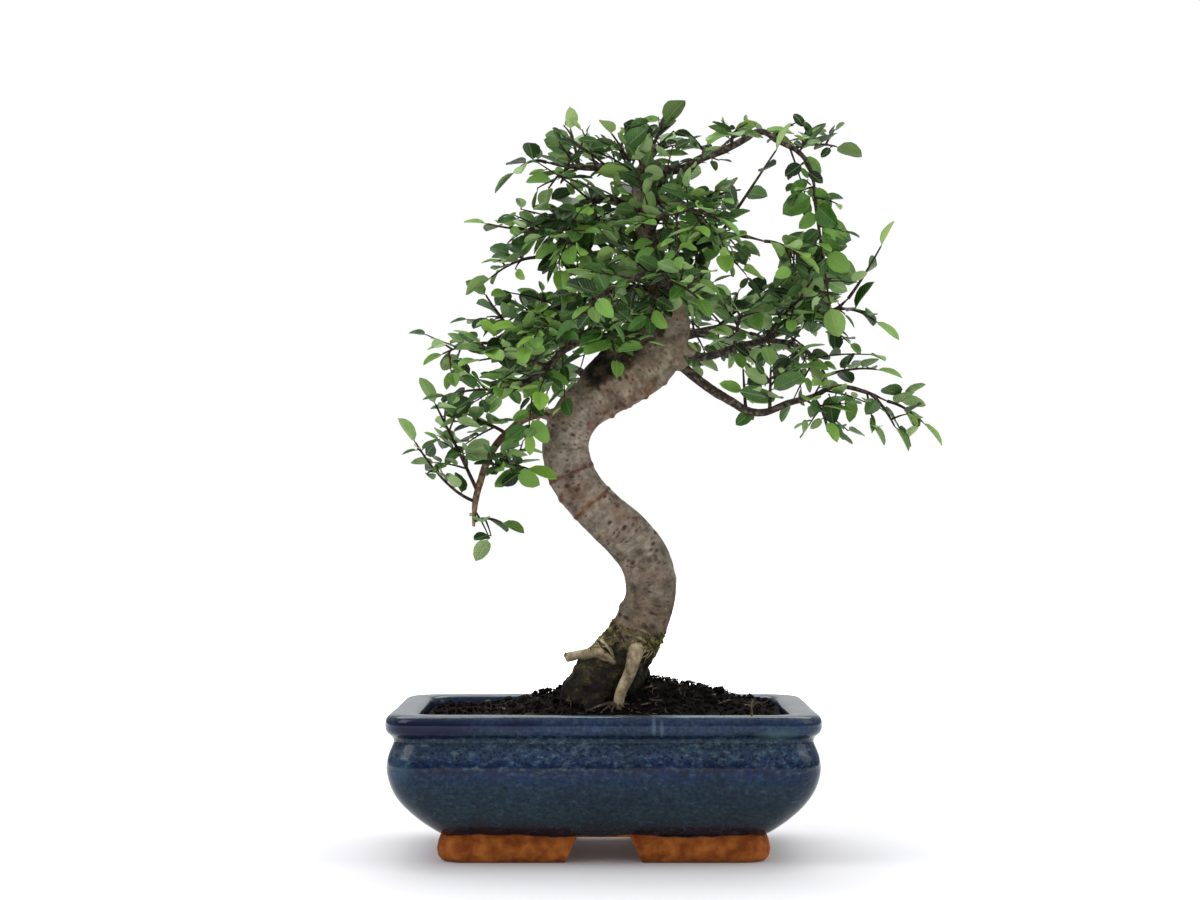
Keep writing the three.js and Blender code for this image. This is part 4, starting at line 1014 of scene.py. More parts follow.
    def make_crumbs(self, rng: Chance) -> Object:
        """Scatter crumbs of peat over the bed.

        Args:
            rng: The source of chance.

        Returns:
            All crumbs as one object.
        """
        pattern = MeshPattern.from_object(add_primitive(
            bpy.ops.mesh.primitive_ico_sphere_add, "crumb", subdivisions=1, radius=1))
        build = MeshBuilder("soil_crumbs")
        for place in self.spots(rng, self.crumbs, 2):
            size = min(0.55 * math.exp(rng.normal(0, 0.5)), 2.2)
            rough = pattern.points * rng.uniform(0.6, 1.25, pattern.points.shape)
            stretch = size * rng.uniform(0.7, 1.3, 3)
            rise = np.array((0, 0, rng.uniform(-0.5, 0.9) + 0.3 * size))
            build.add(pattern, self.layout.metres(place + rise + rough * stretch @ turned(rng)))
        return build.build()

    def make_chips(self, rng: Chance) -> Object:
        """Scatter flat chips of bark and wood.

        Args:
            rng: The source of chance.

        Returns:
            All chips as one object.
        """
        chip = add_primitive(bpy.ops.mesh.primitive_cube_add, "chip", size=2)
        apply_modifier(chip, "BEVEL", width=0.3, segments=1)
        pattern = MeshPattern.from_object(chip)
        build = MeshBuilder("soil_bark_chips")
        for place in self.spots(rng, self.chips, 6):
            length = rng.uniform(1.2, 3.4)
            size = np.array((length, length * rng.uniform(0.18, 0.4), rng.uniform(0.2, 0.4)))
            rough = pattern.points * rng.uniform(0.75, 1.15, pattern.points.shape) * size
            rise = np.array((0, 0, rng.uniform(0.2, 1.2)))
            build.add(pattern, self.layout.metres(place + rise + rough @ turned(rng, steepness=0.5)))
        return build.build()

    def make_fibres(self, rng: Chance) -> Object:
        """Strew thin fibres and root hairs, some of them standing up in a curl.

        Args:
            rng: The source of chance.

        Returns:
            All fibres as one object.
        """
        routes = []
        for place in self.spots(rng, self.fibres, 9):
            heading = rng.uniform(0, 2 * math.pi)
            length = rng.uniform(3, 11)
            curl = rng.uniform(-1.2, 1.2)
            lift = rng.uniform(0.2, 3.2) if rng.random() < 0.25 else rng.uniform(0.2, 0.9)
            route = []
            for step in range(5):
                share = step / 4
                bend = heading + curl * share
                x = place[0] + math.cos(bend) * length * (share - 0.5)
                y = place[1] + math.sin(bend) * length * (share - 0.5)
                z = self.level(x, y) + 0.2 + lift * math.sin(math.pi * share)
                route.append((x, y, z, 0.34 * (1 - 0.55 * share)))
            routes.append(route)
        routes.append(self.splinter)
        for heading, length, radius in self.rootlets:
            route = []
            for share in (0, 0.3, 0.6, 1):
                bend = math.radians(heading + 25 * share)
                x = self.root_foot[0] + math.cos(bend) * length * share
                y = self.root_foot[1] + math.sin(bend) * length * share
                route.append((x, y, self.level(x, y) + 1.6 * (1 - share) - 0.2, radius * (1 - 0.6 * share)))
            routes.append(route)
        return curve_tubes("soil_fibres", self.layout, routes, sides=4, steps=2)


def turned(rng: Chance, steepness: float = 2.0) -> Array:
    """Draw a random turn.

    Args:
        rng: The source of chance.
        steepness: How far it may tip from level, in radians.

    Returns:
        A 3 by 3 matrix.
    """
    spin = Matrix.Rotation(rng.uniform(0, 2 * math.pi), 3, "Z")
    tip = Matrix.Rotation(rng.uniform(-steepness, steepness), 3, "X")
    return np.array(spin @ tip @ Matrix.Rotation(rng.uniform(0, 2 * math.pi), 3, "Z"))


@dataclass
class MeshPattern:
    """A small mesh that is modelled once and copied many times."""

    points: Array
    faces: list[list[int]]
    materials: list[int]

    @classmethod
    def from_object(cls, obj: Object) -> MeshPattern:
        """Take the pattern from an object, and delete the object."""
        mesh = obj.data
        pattern = cls(points_of(obj), [list(face.vertices) for face in mesh.polygons],
                      [face.material_index for face in mesh.polygons])
        bpy.data.objects.remove(obj)
        return pattern


@dataclass
class MeshBuilder:
    """Gathers copies of patterns into one mesh, with values at each point."""

    name: str
    points: list[Array] = field(default_factory=list)
    faces: list[list[int]] = field(default_factory=list)
    materials: list[int] = field(default_factory=list)
    runs: list[Array] = field(default_factory=list)
    tones: list[Array] = field(default_factory=list)
    count: int = 0

    def add(self, pattern: MeshPattern, points: Array, run: Array | None = None,
            tone: Pair = (0, 0)) -> None:
        """Add a copy of a pattern.

        Args:
            pattern: The pattern.
            points: Where its points lie in this copy, in metres.
            run: Texture place of each point.
            tone: Youth and shade of the copy.
        """
        self.points.append(points)
        self.faces.extend([corner + self.count for corner in face] for face in pattern.faces)
        self.materials.extend(pattern.materials)
        self.runs.append(np.zeros((len(points), 2)) if run is None else run)
        self.tones.append(np.tile((*tone, 0.0, 1.0), (len(points), 1)))
        self.count += len(points)

    def build(self) -> Object:
        """Return everything that was added, as one object."""
        mesh = bpy.data.meshes.new(self.name)
        mesh.from_pydata(np.concatenate(self.points).tolist(), [], self.faces)
        mesh.polygons.foreach_set("material_index", self.materials)
        corners = np.zeros(len(mesh.loops), int)
        mesh.loops.foreach_get("vertex_index", corners)
        run_layer = mesh.uv_layers.new(name="leaf_run")
        run_layer.data.foreach_set("uv", np.concatenate(self.runs)[corners].ravel())
        tone_layer = mesh.attributes.new("leaf_tone", "FLOAT_COLOR", "POINT")
        tone_layer.data.foreach_set("color", np.concatenate(self.tones).ravel())
        mesh.update()
        obj = bpy.data.objects.new(self.name, mesh)
        bpy.context.scene.collection.objects.link(obj)
        return obj


def curve_tubes(name: str, layout: Layout, routes: Sequence[Route], sides: int = 8, steps: int = 6) -> Object:
    """Make round tapered tubes along smooth routes, as one mesh.

    Args:
        name: The object's name.
        layout: Turns the routes' millimetres to the row frame.
        routes: For each tube, its points of x, y, z and radius.
        sides: Number of sides, even.
        steps: Rings between one point and the next.

    Returns:
        The tubes.
    """
    tubes = add_primitive(bpy.ops.curve.primitive_bezier_curve_add, name)
    curve = tubes.data
    curve.splines.clear()
    curve.dimensions = "3D"
    curve.fill_mode = "FULL"
    curve.use_fill_caps = True
    curve.bevel_depth = MM
    curve.bevel_resolution = (sides - 4) // 2
    curve.resolution_u = steps
    for route in routes:
        spline = curve.splines.new("BEZIER")
        spline.bezier_points.add(len(route) - 1)
        places = layout.metres([point[:3] for point in route])
        for knot, place, point in zip(spline.bezier_points, places, route):
            knot.co = place
            knot.radius = point[3]
            knot.handle_left_type = knot.handle_right_type = "AUTO"
    make_active(tubes)
    bpy.ops.object.convert(target="MESH")
    return tubes


class WoodField:
    """Measures how near points lie to the straight pieces of some tapered routes."""

    def __init__(self, routes: Sequence[Route]) -> None:
        """Cut the routes into straight pieces.

        Args:
            routes: Points of x, y, z and radius, in millimetres.
        """
        pieces = [(np.array(a), np.array(b)) for route in routes for a, b in zip(route, route[1:])]
        self.start = np.array([a[:3] for a, _ in pieces], float)
        self.axis = np.array([b[:3] - a[:3] for a, b in pieces], float)
        self.length = np.linalg.norm(self.axis, axis=1)
        self.direction = self.axis / self.length[:, None]
        self.radius = np.array([(a[3], b[3]) for a, b in pieces], float)

    def project(self, points: Array, endless: bool = False) -> tuple[Array, Array, Array]:
        """Project points on every piece.

        Args:
            points: Rows of places.
            endless: Whether the distance is to the piece's endless line.

        Returns:
            For each point and piece, how far along it lies and how far aside, and the piece's radius there.
        """
        out = points[:, None, :] - self.start[None]
        along = np.einsum("pij,ij->pi", out, self.direction)
        foot = along if endless else np.clip(along, 0, self.length)
        aside = np.linalg.norm(out - foot[..., None] * self.direction[None], axis=2)
        share = np.clip(along / self.length, 0, 1)
        return along, aside, self.radius[:, 0] + (self.radius[:, 1] - self.radius[:, 0]) * share

    def outside(self, points: Array) -> Array:
        """Return how far each point lies outside the nearest piece's round skin."""
        _, aside, radius = self.project(points)
        return (aside - radius).min(axis=1)

    def room(self, points: Array) -> float:
        """Return the least room between points and the pieces, taken as bars with flat ends."""
        along, aside, radius = self.project(points, endless=True)
        return np.maximum(np.maximum(along - self.length, -along), aside - radius).min()


@dataclass
class Wood:
    """Trunk, roots and boughs: one grown piece, with the boughs' finer skin as a piece of its own."""

    layout: Layout
    voxel: float = 0.72
    # Ring scars: places on the trunk's middle line
    scars: tuple[Point, ...] = ((-15.5, 0, 181.5), (-5, 0, 167.5))
    # Knots and pores large enough to have relief: x, z and radius, on the front of the trunk
    knots: tuple[tuple[float, float, float], ...] = (
        (-15, 190, 2.2), (-12, 196, 1.0), (2, 220, 1.2), (19, 139, 1.6), (26, 134, 1.2), (22, 124, 1.5),
        (15, 118, 1.1), (12, 150, 1.1), (27, 250, 2.6), (-8, 206, 1.1), (14, 128, 1.0), (30, 240, 1.2))
    # Buds and stubs of twigs on the outline, mostly under the upper bend: x, z and height
    buds: tuple[tuple[float, float, float], ...] = (
        (21, 216.8, 1.5), (13.2, 212.3, 1.1), (11.2, 211.5, 0.9), (4.5, 208.5, 1.3), (30.5, 223, 1.7),
        (-20.5, 170, 1.3), (2, 182, 1.1), (36, 131, 0.9), (4.5, 131, 0.9), (8, 119, 1.5))
    foot_top: float = 101
    # Where the cut root ends
    cut_end: Point = (-19.5, -8, 93)
    # On the UV map a turn round any part of the trunk counts as one round a radius of this size
    map_radius: float = 12

    def build(self, bark: Material, dark: Material, light: Material) -> Object:
        """Make the trunk with its roots, and the boughs.

        Args:
            bark: The trunk's material.
            dark: The material of most boughs.
            light: The material of the low left bough, a lighter copy of the twig bark painted as lit by the
                sun.

        Returns:
            The trunk.
        """
        trunk = settle(self.make_trunk(), [bark], ["trunk_and_boughs"], smooth=70)
        inner = [name for name in BOUGHS if name != "low_left"]
        for piece, names, material in (("elm_boughs", inner, dark), ("elm_low_bough", ["low_left"], light)):
            routes = [BOUGHS[name].route() for name in names]
            for route in routes:
                route[-1] = (*route[-1][:3], route[-1][3] * 0.45)
            boughs = curve_tubes(piece, self.layout, routes, sides=12, steps=10)
            relief(boughs, lambda co: (0.16 * soft_noise(co, 4) + 0.1 * soft_noise(co, 1.6)) * MM)
            settle(boughs, [material], smooth=70)
        return trunk

    def collars(self) -> list[list[RoutePoint]]:
        """Return the swellings where boughs leave the trunk, as short routes."""
        stubs = []
        for name, bough in BOUGHS.items():
            if name == "right_fork":
                continue
            route = bough.route()
            reach = self.route_length(route[:2])
            shares = np.linspace(0, 1, 30)
            ends = np.array([along_route(route[:2], share)[:3] for share in shares])
            outside = WoodField([TRUNK]).outside(ends)
            leaves_at = float(shares[np.argmax(outside > 0)]) if (outside > 0).any() else 0.5
            radius = bough.radii[0]
            near = along_route(route, leaves_at * 0.9 * reach / self.route_length(route))
            far = along_route(route, (leaves_at * reach + 5) / self.route_length(route))
            stubs.append([(*route[0][:3], radius * 2), (*near[:3], radius * 1.7), (*far[:3], radius * 0.96)])
        return stubs

    @staticmethod
    def route_length(route: Sequence[RoutePoint]) -> float:
        """Return the length of a route."""
        return float(np.linalg.norm(np.diff(np.array(route)[:, :3], axis=0), axis=1).sum())

    def make_trunk(self) -> Object:
        """Join trunk, roots and collars into one skin and carve its bark.

        Returns:
            The trunk with its UV map and its zones.
        """
        routes = [TRUNK, BURL, *FLARING_ROOTS, *PALE_ROOTS, *self.collars()]
        trunk = curve_tubes("elm_trunk", self.layout, routes, sides=20, steps=6)
        apply_modifier(trunk, "REMESH", mode="VOXEL", voxel_size=self.voxel * MM)
        apply_modifier(trunk, "SMOOTH", factor=0.5, iterations=6)
        self.carve(trunk)
        self.map_bark(trunk)
        self.paint_zones(trunk)
        return trunk

    def carve(self, trunk: Object) -> None:
        """Give the skin its lumps, the rugged foot, the ring scars and the knots.

        Args:
            trunk: The joined trunk.
        """
        points = points_of(trunk)
        normals = np.array([vertex.normal for vertex in trunk.data.vertices])
        place = self.layout.millimetres(points)
        rugged = self.foot(place) * (1 - self.pale(place))
        rise = np.zeros(len(points))
        for index, point in enumerate(points):
            co = Vector(point)
            rise[index] = 0.42 * soft_noise(co, 11) + 0.13 * soft_noise(co, 2.8) + 0.07 * soft_noise(co, 1.2)
            if rugged[index] > 0.02:
                deep = 1.3 * soft_noise(co, 6) + 0.7 * soft_noise(co, 2.6)
                rise[index] += rugged[index] * deep
        rise += 0.6 * self.scar(place, 0.9) - 0.3 * self.scar(place, 0.35) + 2.6 * self.shaded_bend_top(place)
        rise += self.budded(place) * (np.abs(normals[:, 1]) < 0.7)
        for x, z, radius in self.knots:
            distance = np.hypot(place[:, 0] - x, place[:, 2] - z)
            facing = (normals[:, 1] < 0.1) & (distance < 3 * radius)
            dome = np.exp(-(distance / radius) ** 2) * facing
            rim = np.exp(-((distance - radius) / (0.5 * radius)) ** 2)
            rise += radius * (0.5 * rim * facing - 0.45 * dome)
        set_points(trunk, points + normals * rise[:, None] * MM)

    def budded(self, place: Array) -> Array:
        """Return how far the buds lift each point, in mm."""
        lift = np.zeros(len(place))
        for x, z, height in self.buds:
            distance = np.hypot(place[:, 0] - x, 0.45 * (place[:, 2] - z))
            lift = np.maximum(lift, height * np.exp(-(distance / (0.5 + 0.45 * height)) ** 2))
        return lift

    def foot(self, place: Array) -> Array:
        """Return how far each point belongs to the dark rugged foot, from 0 to 1."""
        return np.clip((self.foot_top + 3 * noise_at(place, 7) - place[:, 2]) / 4, 0, 1)

    def shaded_bend_top(self, place: Array) -> Array:
        """Return how far each point belongs to the upper side of the trunk's upper bend, which is painted
        dark as shade, from 0 to 1.
        """
        across, _, heights, _ = zip(*[point for point in TRUNK if point[2] > 200])
        above = place[:, 2] - np.interp(place[:, 0], across[:5], heights[:5])
        ends = np.clip((21 - place[:, 0]) / 7, 0, 1) * np.clip((place[:, 0] + 13) / 6, 0, 1)
        return np.clip((above - 2.2) / 3, 0, 1) * ends * (np.abs(place[:, 2] - 231) < 22)

    def pale(self, place: Array) -> Array:
        """Return 1 where a point lies on one of the pale roots."""
        own = WoodField(PALE_ROOTS).outside(place)
        others = WoodField([TRUNK, *FLARING_ROOTS]).outside(place)
        return np.clip((others - own) / 0.8, 0, 1)

    def scar(self, place: Array, width: float) -> Array:
        """Return how near each point lies to a ring scar, from 0 to 1, for a scar of this half width."""
        nearness = np.zeros(len(place))
        wander = 0.9 * noise_at(place, 8)
        trunk = WoodField([TRUNK])
        for centre in self.scars:
            _, aside, _ = trunk.project(np.array([centre]))
            across = trunk.direction[int(aside.argmin())]
            off = (place - centre) @ across
            close = np.linalg.norm(place - centre, axis=1) < 20
            nearness = np.maximum(nearness, np.exp(-((off + wander) / width) ** 2) * close)
        return nearness

    def map_bark(self, trunk: Object) -> None:
        """Unwrap the skin: round the trunk and along it, 100 mm a unit, its seam at the back.

        Args:
            trunk: The carved trunk.
        """
        mesh = trunk.data
        place = self.layout.millimetres(points_of(trunk))
        middle_line = WoodField([TRUNK])
        along, aside, _ = middle_line.project(place)
        nearest = aside.argmin(axis=1)
        rows = np.arange(len(place))
        travelled = np.concatenate(([0], np.cumsum(middle_line.length)))[nearest]
        distance = travelled + np.clip(along[rows, nearest], 0, middle_line.length[nearest])
        direction = middle_line.direction[nearest]
        front = unit(np.array((0, -1, 0)) - direction * (direction @ np.array((0, -1, 0)))[:, None])
        side = np.cross(direction, front)
        out = place - middle_line.start[nearest]
        angle = np.arctan2((out * side).sum(1), (out * front).sum(1))
        corners = np.zeros(len(mesh.loops), int)
        mesh.loops.foreach_get("vertex_index", corners)
        turn = angle[corners]
        starts = np.zeros(len(mesh.polygons), int)
        totals = np.zeros(len(mesh.polygons), int)
        mesh.polygons.foreach_get("loop_start", starts)
        mesh.polygons.foreach_get("loop_total", totals)
        for start, total in zip(starts, totals):
            corner = turn[start:start + total]
            if corner.max() - corner.min() > math.pi:
                corner[corner < 0] += 2 * math.pi
        layer = mesh.uv_layers.new(name="bark_run")
        around = turn * self.map_radius / BARK_RUN
        layer.data.foreach_set("uv", np.stack((around, distance[corners] / BARK_RUN), axis=1).ravel())

    def paint_zones(self, trunk: Object) -> None:
        """Store where the bark is scarred, mossy, dark near the soil or painted with shade, and where it is a
        pale root.

        Args:
            trunk: The carved trunk.
        """
        mesh = trunk.data
        place = self.layout.millimetres(points_of(trunk))
        pale = self.pale(place)
        # The cut root ends in a dark weathered face
        pale *= np.clip(np.linalg.norm(place - self.cut_end, axis=1) / 1.6 - 1, 0, 1)
        patch = noise_at(place, 5) + 0.5 * noise_at(place, 2)
        # Painted shade on the upper side of the upper bend, stored in the blue channel with the dark bark
        # near the soil
        shadow = self.shaded_bend_top(place) * np.clip(0.95 + 0.5 * patch, 0, 1)
        earth_and_shade = np.maximum(self.foot(place) * (1 - pale), shadow)
        x, _, z = place.T
        # A dark line of painted shade, as in a crease, runs from above the bend up into the crown
        crease_shade = np.exp(-((x - 26.5 - 1.5 * patch) / 3) ** 2 - ((z - 252) / 9) ** 4)
        earth_and_shade = np.maximum(earth_and_shade, 0.95 * crease_shade)
        # The moss lies in a ring at the top of the foot, highest in front
        ring_height = 101 + 4 * np.exp(-((x - 4) / 7) ** 2)
        band = np.exp(-((z - ring_height) / np.interp(x, (-10, 5, 20), (7.5, 6, 4))) ** 2)
        moss = np.clip(band * (0.6 + 1.5 * patch), 0, 1) * (1 - 0.7 * pale)
        # Rusty ring scars, and a rusty patch between them on the left
        ring = np.clip(1.4 * self.scar(place, 0.85), 0, 1) * np.clip(0.95 + 0.5 * patch, 0.6, 1)
        lower = np.array(self.scars[1])
        stain = np.exp(-((place - lower - (-7, -6, 5)) ** 2).sum(1) / 75)
        stain *= np.clip(0.6 + 0.8 * patch, 0.1, 0.8)
        # Rust-brown skin under the upper bend, darker on its buds
        across, _, heights, _ = zip(*[point for point in TRUNK if 190 < point[2] < 240])
        below = np.interp(x, across, heights) - z
        under = np.clip((below - 5.5) / 5, 0, 0.85) * (np.abs(x - 9) < 17) * (np.abs(z - 214) < 14)
        under *= np.clip(0.7 + patch, 0, 1)
        rust = np.clip(np.maximum.reduce([ring, stain, under, self.budded(place) * (z > 165)]), 0, 1)
        layer = mesh.attributes.new("bark_zone", "FLOAT_COLOR", "POINT")
        layer.data.foreach_set("color", np.stack((rust, moss, earth_and_shade, pale), axis=1).ravel())


@dataclass
class Moss:
    """Moss tufts and root fibres that bind the foot of the trunk."""

    layout: Layout
    tufts: int = 1000
    hairs: int = 120
    seed: int = 11
    hair_length: Pair = (4, 11)
    # Fibres that lie on the bark: x, z and radius along each, seen from the front
    fibres: tuple[tuple[Point, ...], ...] = (
        ((-9, 105, 0.5), (-5, 103.5, 0.9), (-1, 101, 1.1), (3, 97, 1), (5, 92, 0.6)),
        ((-6, 108, 0.4), (0, 108, 0.7), (5, 106, 0.8), (9, 102.5, 0.6), (11, 99, 0.4)),
        ((11, 104, 0.4), (15.5, 103, 0.8), (20, 100.5, 0.9), (23.5, 96.5, 0.6)),
        ((14, 106.5, 0.3), (19, 106, 0.6), (24, 102, 0.5)),
        ((-14, 98, 0.5), (-9, 100.5, 0.9), (-4, 98.5, 0.9), (1, 95.5, 0.6)),
        ((-3, 111, 0.3), (2, 109.5, 0.6), (6, 110.5, 0.4)))

    def build(self, trunk: Object, moss: Material, fibre: Material) -> None:
        """Make the tufts and the fibres on the carved trunk.

        Args:
            trunk: The trunk, with its zones.
            moss: The tufts' material.
            fibre: The fibres' material.
        """
        mesh = trunk.data
        shares = np.zeros(len(mesh.vertices) * 4, np.float32)
        mesh.attributes["bark_zone"].data.foreach_get("color", shares)
        rng = np.random.default_rng(self.seed)
        chance = np.clip(shares.reshape(-1, 4)[:, 1] - 0.25, 0, 1)
        pattern = MeshPattern.from_object(add_primitive(
            bpy.ops.mesh.primitive_ico_sphere_add, "tuft", subdivisions=1, radius=MM))
        build = MeshBuilder("foot_moss")
        for index in rng.choice(len(chance), self.tufts, replace=False, p=chance / chance.sum()):
            vertex = mesh.vertices[index]
            size = 0.5 * math.exp(rng.normal(0, 0.4))
            rough = pattern.points * rng.uniform(0.5, 1.4, pattern.points.shape) * min(size, 1.1)
            build.add(pattern, np.array(vertex.co + vertex.normal * rng.uniform(0, 0.5) * MM) + rough)
        settle(build.build(), [moss], smooth=20)
        routes = []
        for line in self.fibres:
            route = []
            for x, z, radius in line:
                start = self.layout.metres((x, -90, z))
                found, hit, _, _ = trunk.ray_cast(start, BACK)
                if found:
                    route.append((x, self.layout.millimetres(hit)[1] - 0.4 * radius, z, radius))
            routes.append(route)
        for index in rng.choice(len(chance), self.hairs, replace=False, p=chance / chance.sum()):
            routes.append(self.hair(trunk, mesh.vertices[index], rng))
        settle(curve_tubes("foot_fibres", self.layout, routes, sides=6, steps=4), [fibre])

    def hair(self, trunk: Object, vertex: bpy.types.MeshVertex, rng: Chance) -> list[tuple]:
        """Lay a root hair on the bark, from one of its points downwards.

        Args:
            trunk: The carved trunk.
            vertex: Where the hair starts.
            rng: The source of chance.

        Returns:
            The hair's route.
        """
        place, skin = vertex.co.copy(), vertex.normal.copy()
        heading = Vector(rng.normal(0, 1, 3)) - Vector((0, 0, 0.6))
        length = rng.uniform(*self.hair_length)
        radius = rng.uniform(0.22, 0.5)
        route = []
        for step in range(5):
            heading = (heading - skin * heading.dot(skin)).normalized()
            route.append((*self.layout.millimetres(place + skin * 0.25 * MM), radius * (1 - 0.15 * step)))
            heading += Vector(rng.normal(0, 0.25, 3))
            _, place, skin, _ = trunk.closest_point_on_mesh(place + heading * length / 4 * MM)
        return route


@dataclass
class StemPlan:
    """The part's own lay-out of a shoot's stem: its corners, their directions and its three-sided rings.

    The stem's line is a curve with one middle point. `LeafPlan` stands the leaves on it.
    """

    number: int
    leaves: int
    line: Array
    wood: WoodField
    first_leaf: float = 0.2
    steep: float = 0.9
    radii: Pair = (1.3, 0.95)
    leaves_a_step: float = 1.6
    gap: float = 0.3
    start_step: float = 0.005

    def __post_init__(self) -> None:
        """Work out the rings from the line."""
        chord = unit(self.line[2] - self.line[0])
        reference = BACK if abs(chord[2]) > self.steep else UP
        self.above = unit(reference - chord * (reference @ chord))
        self.steps = math.ceil(self.leaves / self.leaves_a_step)
        self.start = 0.0
        while self.start < self.first_leaf and not self.clears(self.start):
            self.start += self.start_step
        self.shares = self.start + (1 - self.start) * np.arange(self.steps + 1) / self.steps
        self.corners = np.array([self.at(share) for share in self.shares])
        self.frames = self.frames_along(self.corners)
        self.rings = np.array([self.ring(corner, frame, share) for corner, frame,
                               share in zip(self.corners, self.frames, self.shares)])

    def at(self, share: float) -> Array:
        """Return the place at a share of the line."""
        a, b, c = self.line
        return (1 - share) ** 2 * a + 2 * (1 - share) * share * b + share ** 2 * c

    def frames_along(self, corners: Array) -> list[tuple[Array, Array, Array]]:
        """Return the directions at each corner: along, above and level."""
        frames = []
        side = self.above
        for i, corner in enumerate(corners):
            ahead = unit(corners[min(i + 1, len(corners) - 1)] - corner)
            behind = unit(corner - corners[max(i - 1, 0)])
            along = unit(ahead + behind)
            side = unit(side - along * (side @ along))
            frames.append((along, side, np.cross(along, side)))
        return frames

    def ring(self, centre: Array, frame: tuple[Array, ...], share: float) -> Array:
        """Return the three corners of the stem round a place."""
        radius = self.radii[0] + (self.radii[1] - self.radii[0]) * share
        turns = 2 * math.pi * np.arange(3) / 3
        return centre + radius * (np.outer(np.cos(turns), frame[1]) + np.outer(np.sin(turns), frame[2]))

    def clears(self, share: float) -> bool:
        """Return whether a stem that starts at this share starts outside the wood."""
        start = self.at(share)
        following = self.at(share + (1 - share) / self.steps)
        frame = self.frames_along(np.array([start, following]))[0]
        ring = self.ring(start, frame, share)
        probes = np.vstack((start, ring, (ring + np.roll(ring, -1, axis=0)) / 2))
        return self.wood.room(probes) > self.gap

    def misfit(self, solid: Array) -> float:
        """Return how far the rings lie from the nearest points of the CAD solid, in all."""
        inner = self.rings[1:-1].reshape(-1, 3)
        return float(nearest_distance(inner, solid).sum())


def nearest_distance(points: Array, cloud: Array) -> Array:
    """Return each point's distance to the nearest point of a cloud."""
    return np.linalg.norm(points[:, None] - cloud[None], axis=2).min(axis=1)


@dataclass
class Leaf:
    """Where one leaf lies: its root, its three directions and its size in mm, with its look."""

    root: Array
    axis: Array
    across: Array
    face: Array
    length: float
    width: float
    stalk_from: Array
    tone: Pair

    @property
    def middle(self) -> Array:
        """Return the leaf's middle."""
        return self.root + self.axis * self.length / 2

    def place(self, shape: Array) -> Array:
        """Return where the points of a unit leaf lie in this one."""
        return (self.root + np.outer(shape[:, 0] * self.length, self.axis)
                + np.outer(shape[:, 1] * self.width, self.across)
                + np.outer(shape[:, 2] * self.width, self.face))


def leaf_directions(frame: Sequence[Array], side: int, roll: float, spread: float, sink: float,
                    tilt: float) -> tuple[Array, Array, Array]:
    """Turn a leaf away from its stem.

    Args:
        frame: The stem's directions: along, above and level.
        side: 1 or -1, for the side that it stands on.
        roll: How far it stands up from level, in radians.
        spread: How far it leans away from the stem, in radians.
        sink: How much it hangs.
        tilt: How far its blade is tipped, in radians.

    Returns:
        The direction away from the stem, and the leaf's length and breadth.
    """
    along, above, level = frame
    out = level * side * math.cos(roll) + above * math.sin(roll)
    axis = unit(along * math.cos(spread) + out * math.sin(spread) - UP * sink)
    return out, axis, unit(np.cross(above * math.cos(tilt) + level * math.sin(tilt), axis))


@dataclass(frozen=True)
class LeafPlan:
    """The part's own rule for the place and size of each leaf on a stem."""

    length: float = 15
    slimness: float = 0.54
    thick: float = 0.7
    droop: float = 0.06
    tries: int = 12
    tolerance: float = 0.25

    def foot(self, stem: StemPlan, place: int) -> tuple[Array, tuple[Array, ...], bool]:
        """Find where a leaf stands on its stem.

        Args:
            stem: The stem.
            place: The leaf's number, counted from the stem's start.

        Returns:
            The foot's centre, the stem's directions there, and whether it is the stem's end.
        """
        if place == stem.leaves - 1:
            return stem.corners[-1], stem.frames[-1], True
        share = stem.first_leaf + (1 - stem.first_leaf) * (place + 0.4) / stem.leaves
        whole = (share - stem.start) / (1 - stem.start) * stem.steps
        segment = math.floor(whole)
        within = min(max(whole - segment, 0.2), 0.8)
        side = 2 if place % 2 else 0
        low, high = (stem.rings[i][[side, (side + 1) % 3]].mean(axis=0) for i in (segment, segment + 1))
        return low + (high - low) * within, stem.frames[segment], False

    def aim(self, stem: StemPlan, place: int, attempt: int) -> Leaf:
        """Lay out a leaf as the part does on one of its attempts.

        Args:
            stem: The stem.
            place: The leaf's number.
            attempt: Which attempt to find it a clear place.

        Returns:
            The leaf.
        """
        root, frame, last = self.foot(stem, place)
        seed = stem.number * 40 + place
        swing = 1 if attempt % 2 else -1
        out, axis, across = leaf_directions(
            frame, -1 if place % 2 else 1,
            roll=math.radians(80 * (draw(seed, 1) - 0.35) + swing * 16 * math.ceil(attempt / 2)),
            spread=math.radians(10 if last else 56 + 22 * draw(seed, 2)),
            sink=0.05 + 0.25 * draw(seed, 3) - 0.04 * attempt, tilt=math.radians(70 * (draw(seed, 4) - 0.5)))
        length = self.length * (0.82 + 0.4 * draw(seed, 5)) * (1 - 0.12 * place / stem.leaves)
        width = length * self.slimness * (0.9 + 0.25 * draw(seed, 6))
        youth = 0.9 * max(draw(seed, 7) - 0.82, 0) / 0.18 + (0.25 if last else 0)
        tone = (min(youth, 1), draw(seed, 8))
        return Leaf(root, axis, across, np.cross(axis, across), length, width, root - out * 0.4, tone)

    def follow(self, stem: StemPlan, place: int, solid: Array) -> Leaf | None:
        """Find the attempt that the CAD solid holds.

        Args:
            stem: The stem.
            place: The leaf's number.
            solid: The solid's points, in millimetres.

        Returns:
            The leaf, or nothing where the part left it off.
        """
        best, least = None, self.tolerance
        for attempt in range(self.tries):
            leaf = self.aim(stem, place, attempt)
            tip = leaf.root + leaf.axis * leaf.length - leaf.face * self.droop * leaf.width
            faces = np.array([tip + leaf.face * self.thick / 2, tip - leaf.face * self.thick / 2])
            misfit = float(nearest_distance(faces, solid).max())
            if misfit < least:
                best, least = leaf, misfit
        return best


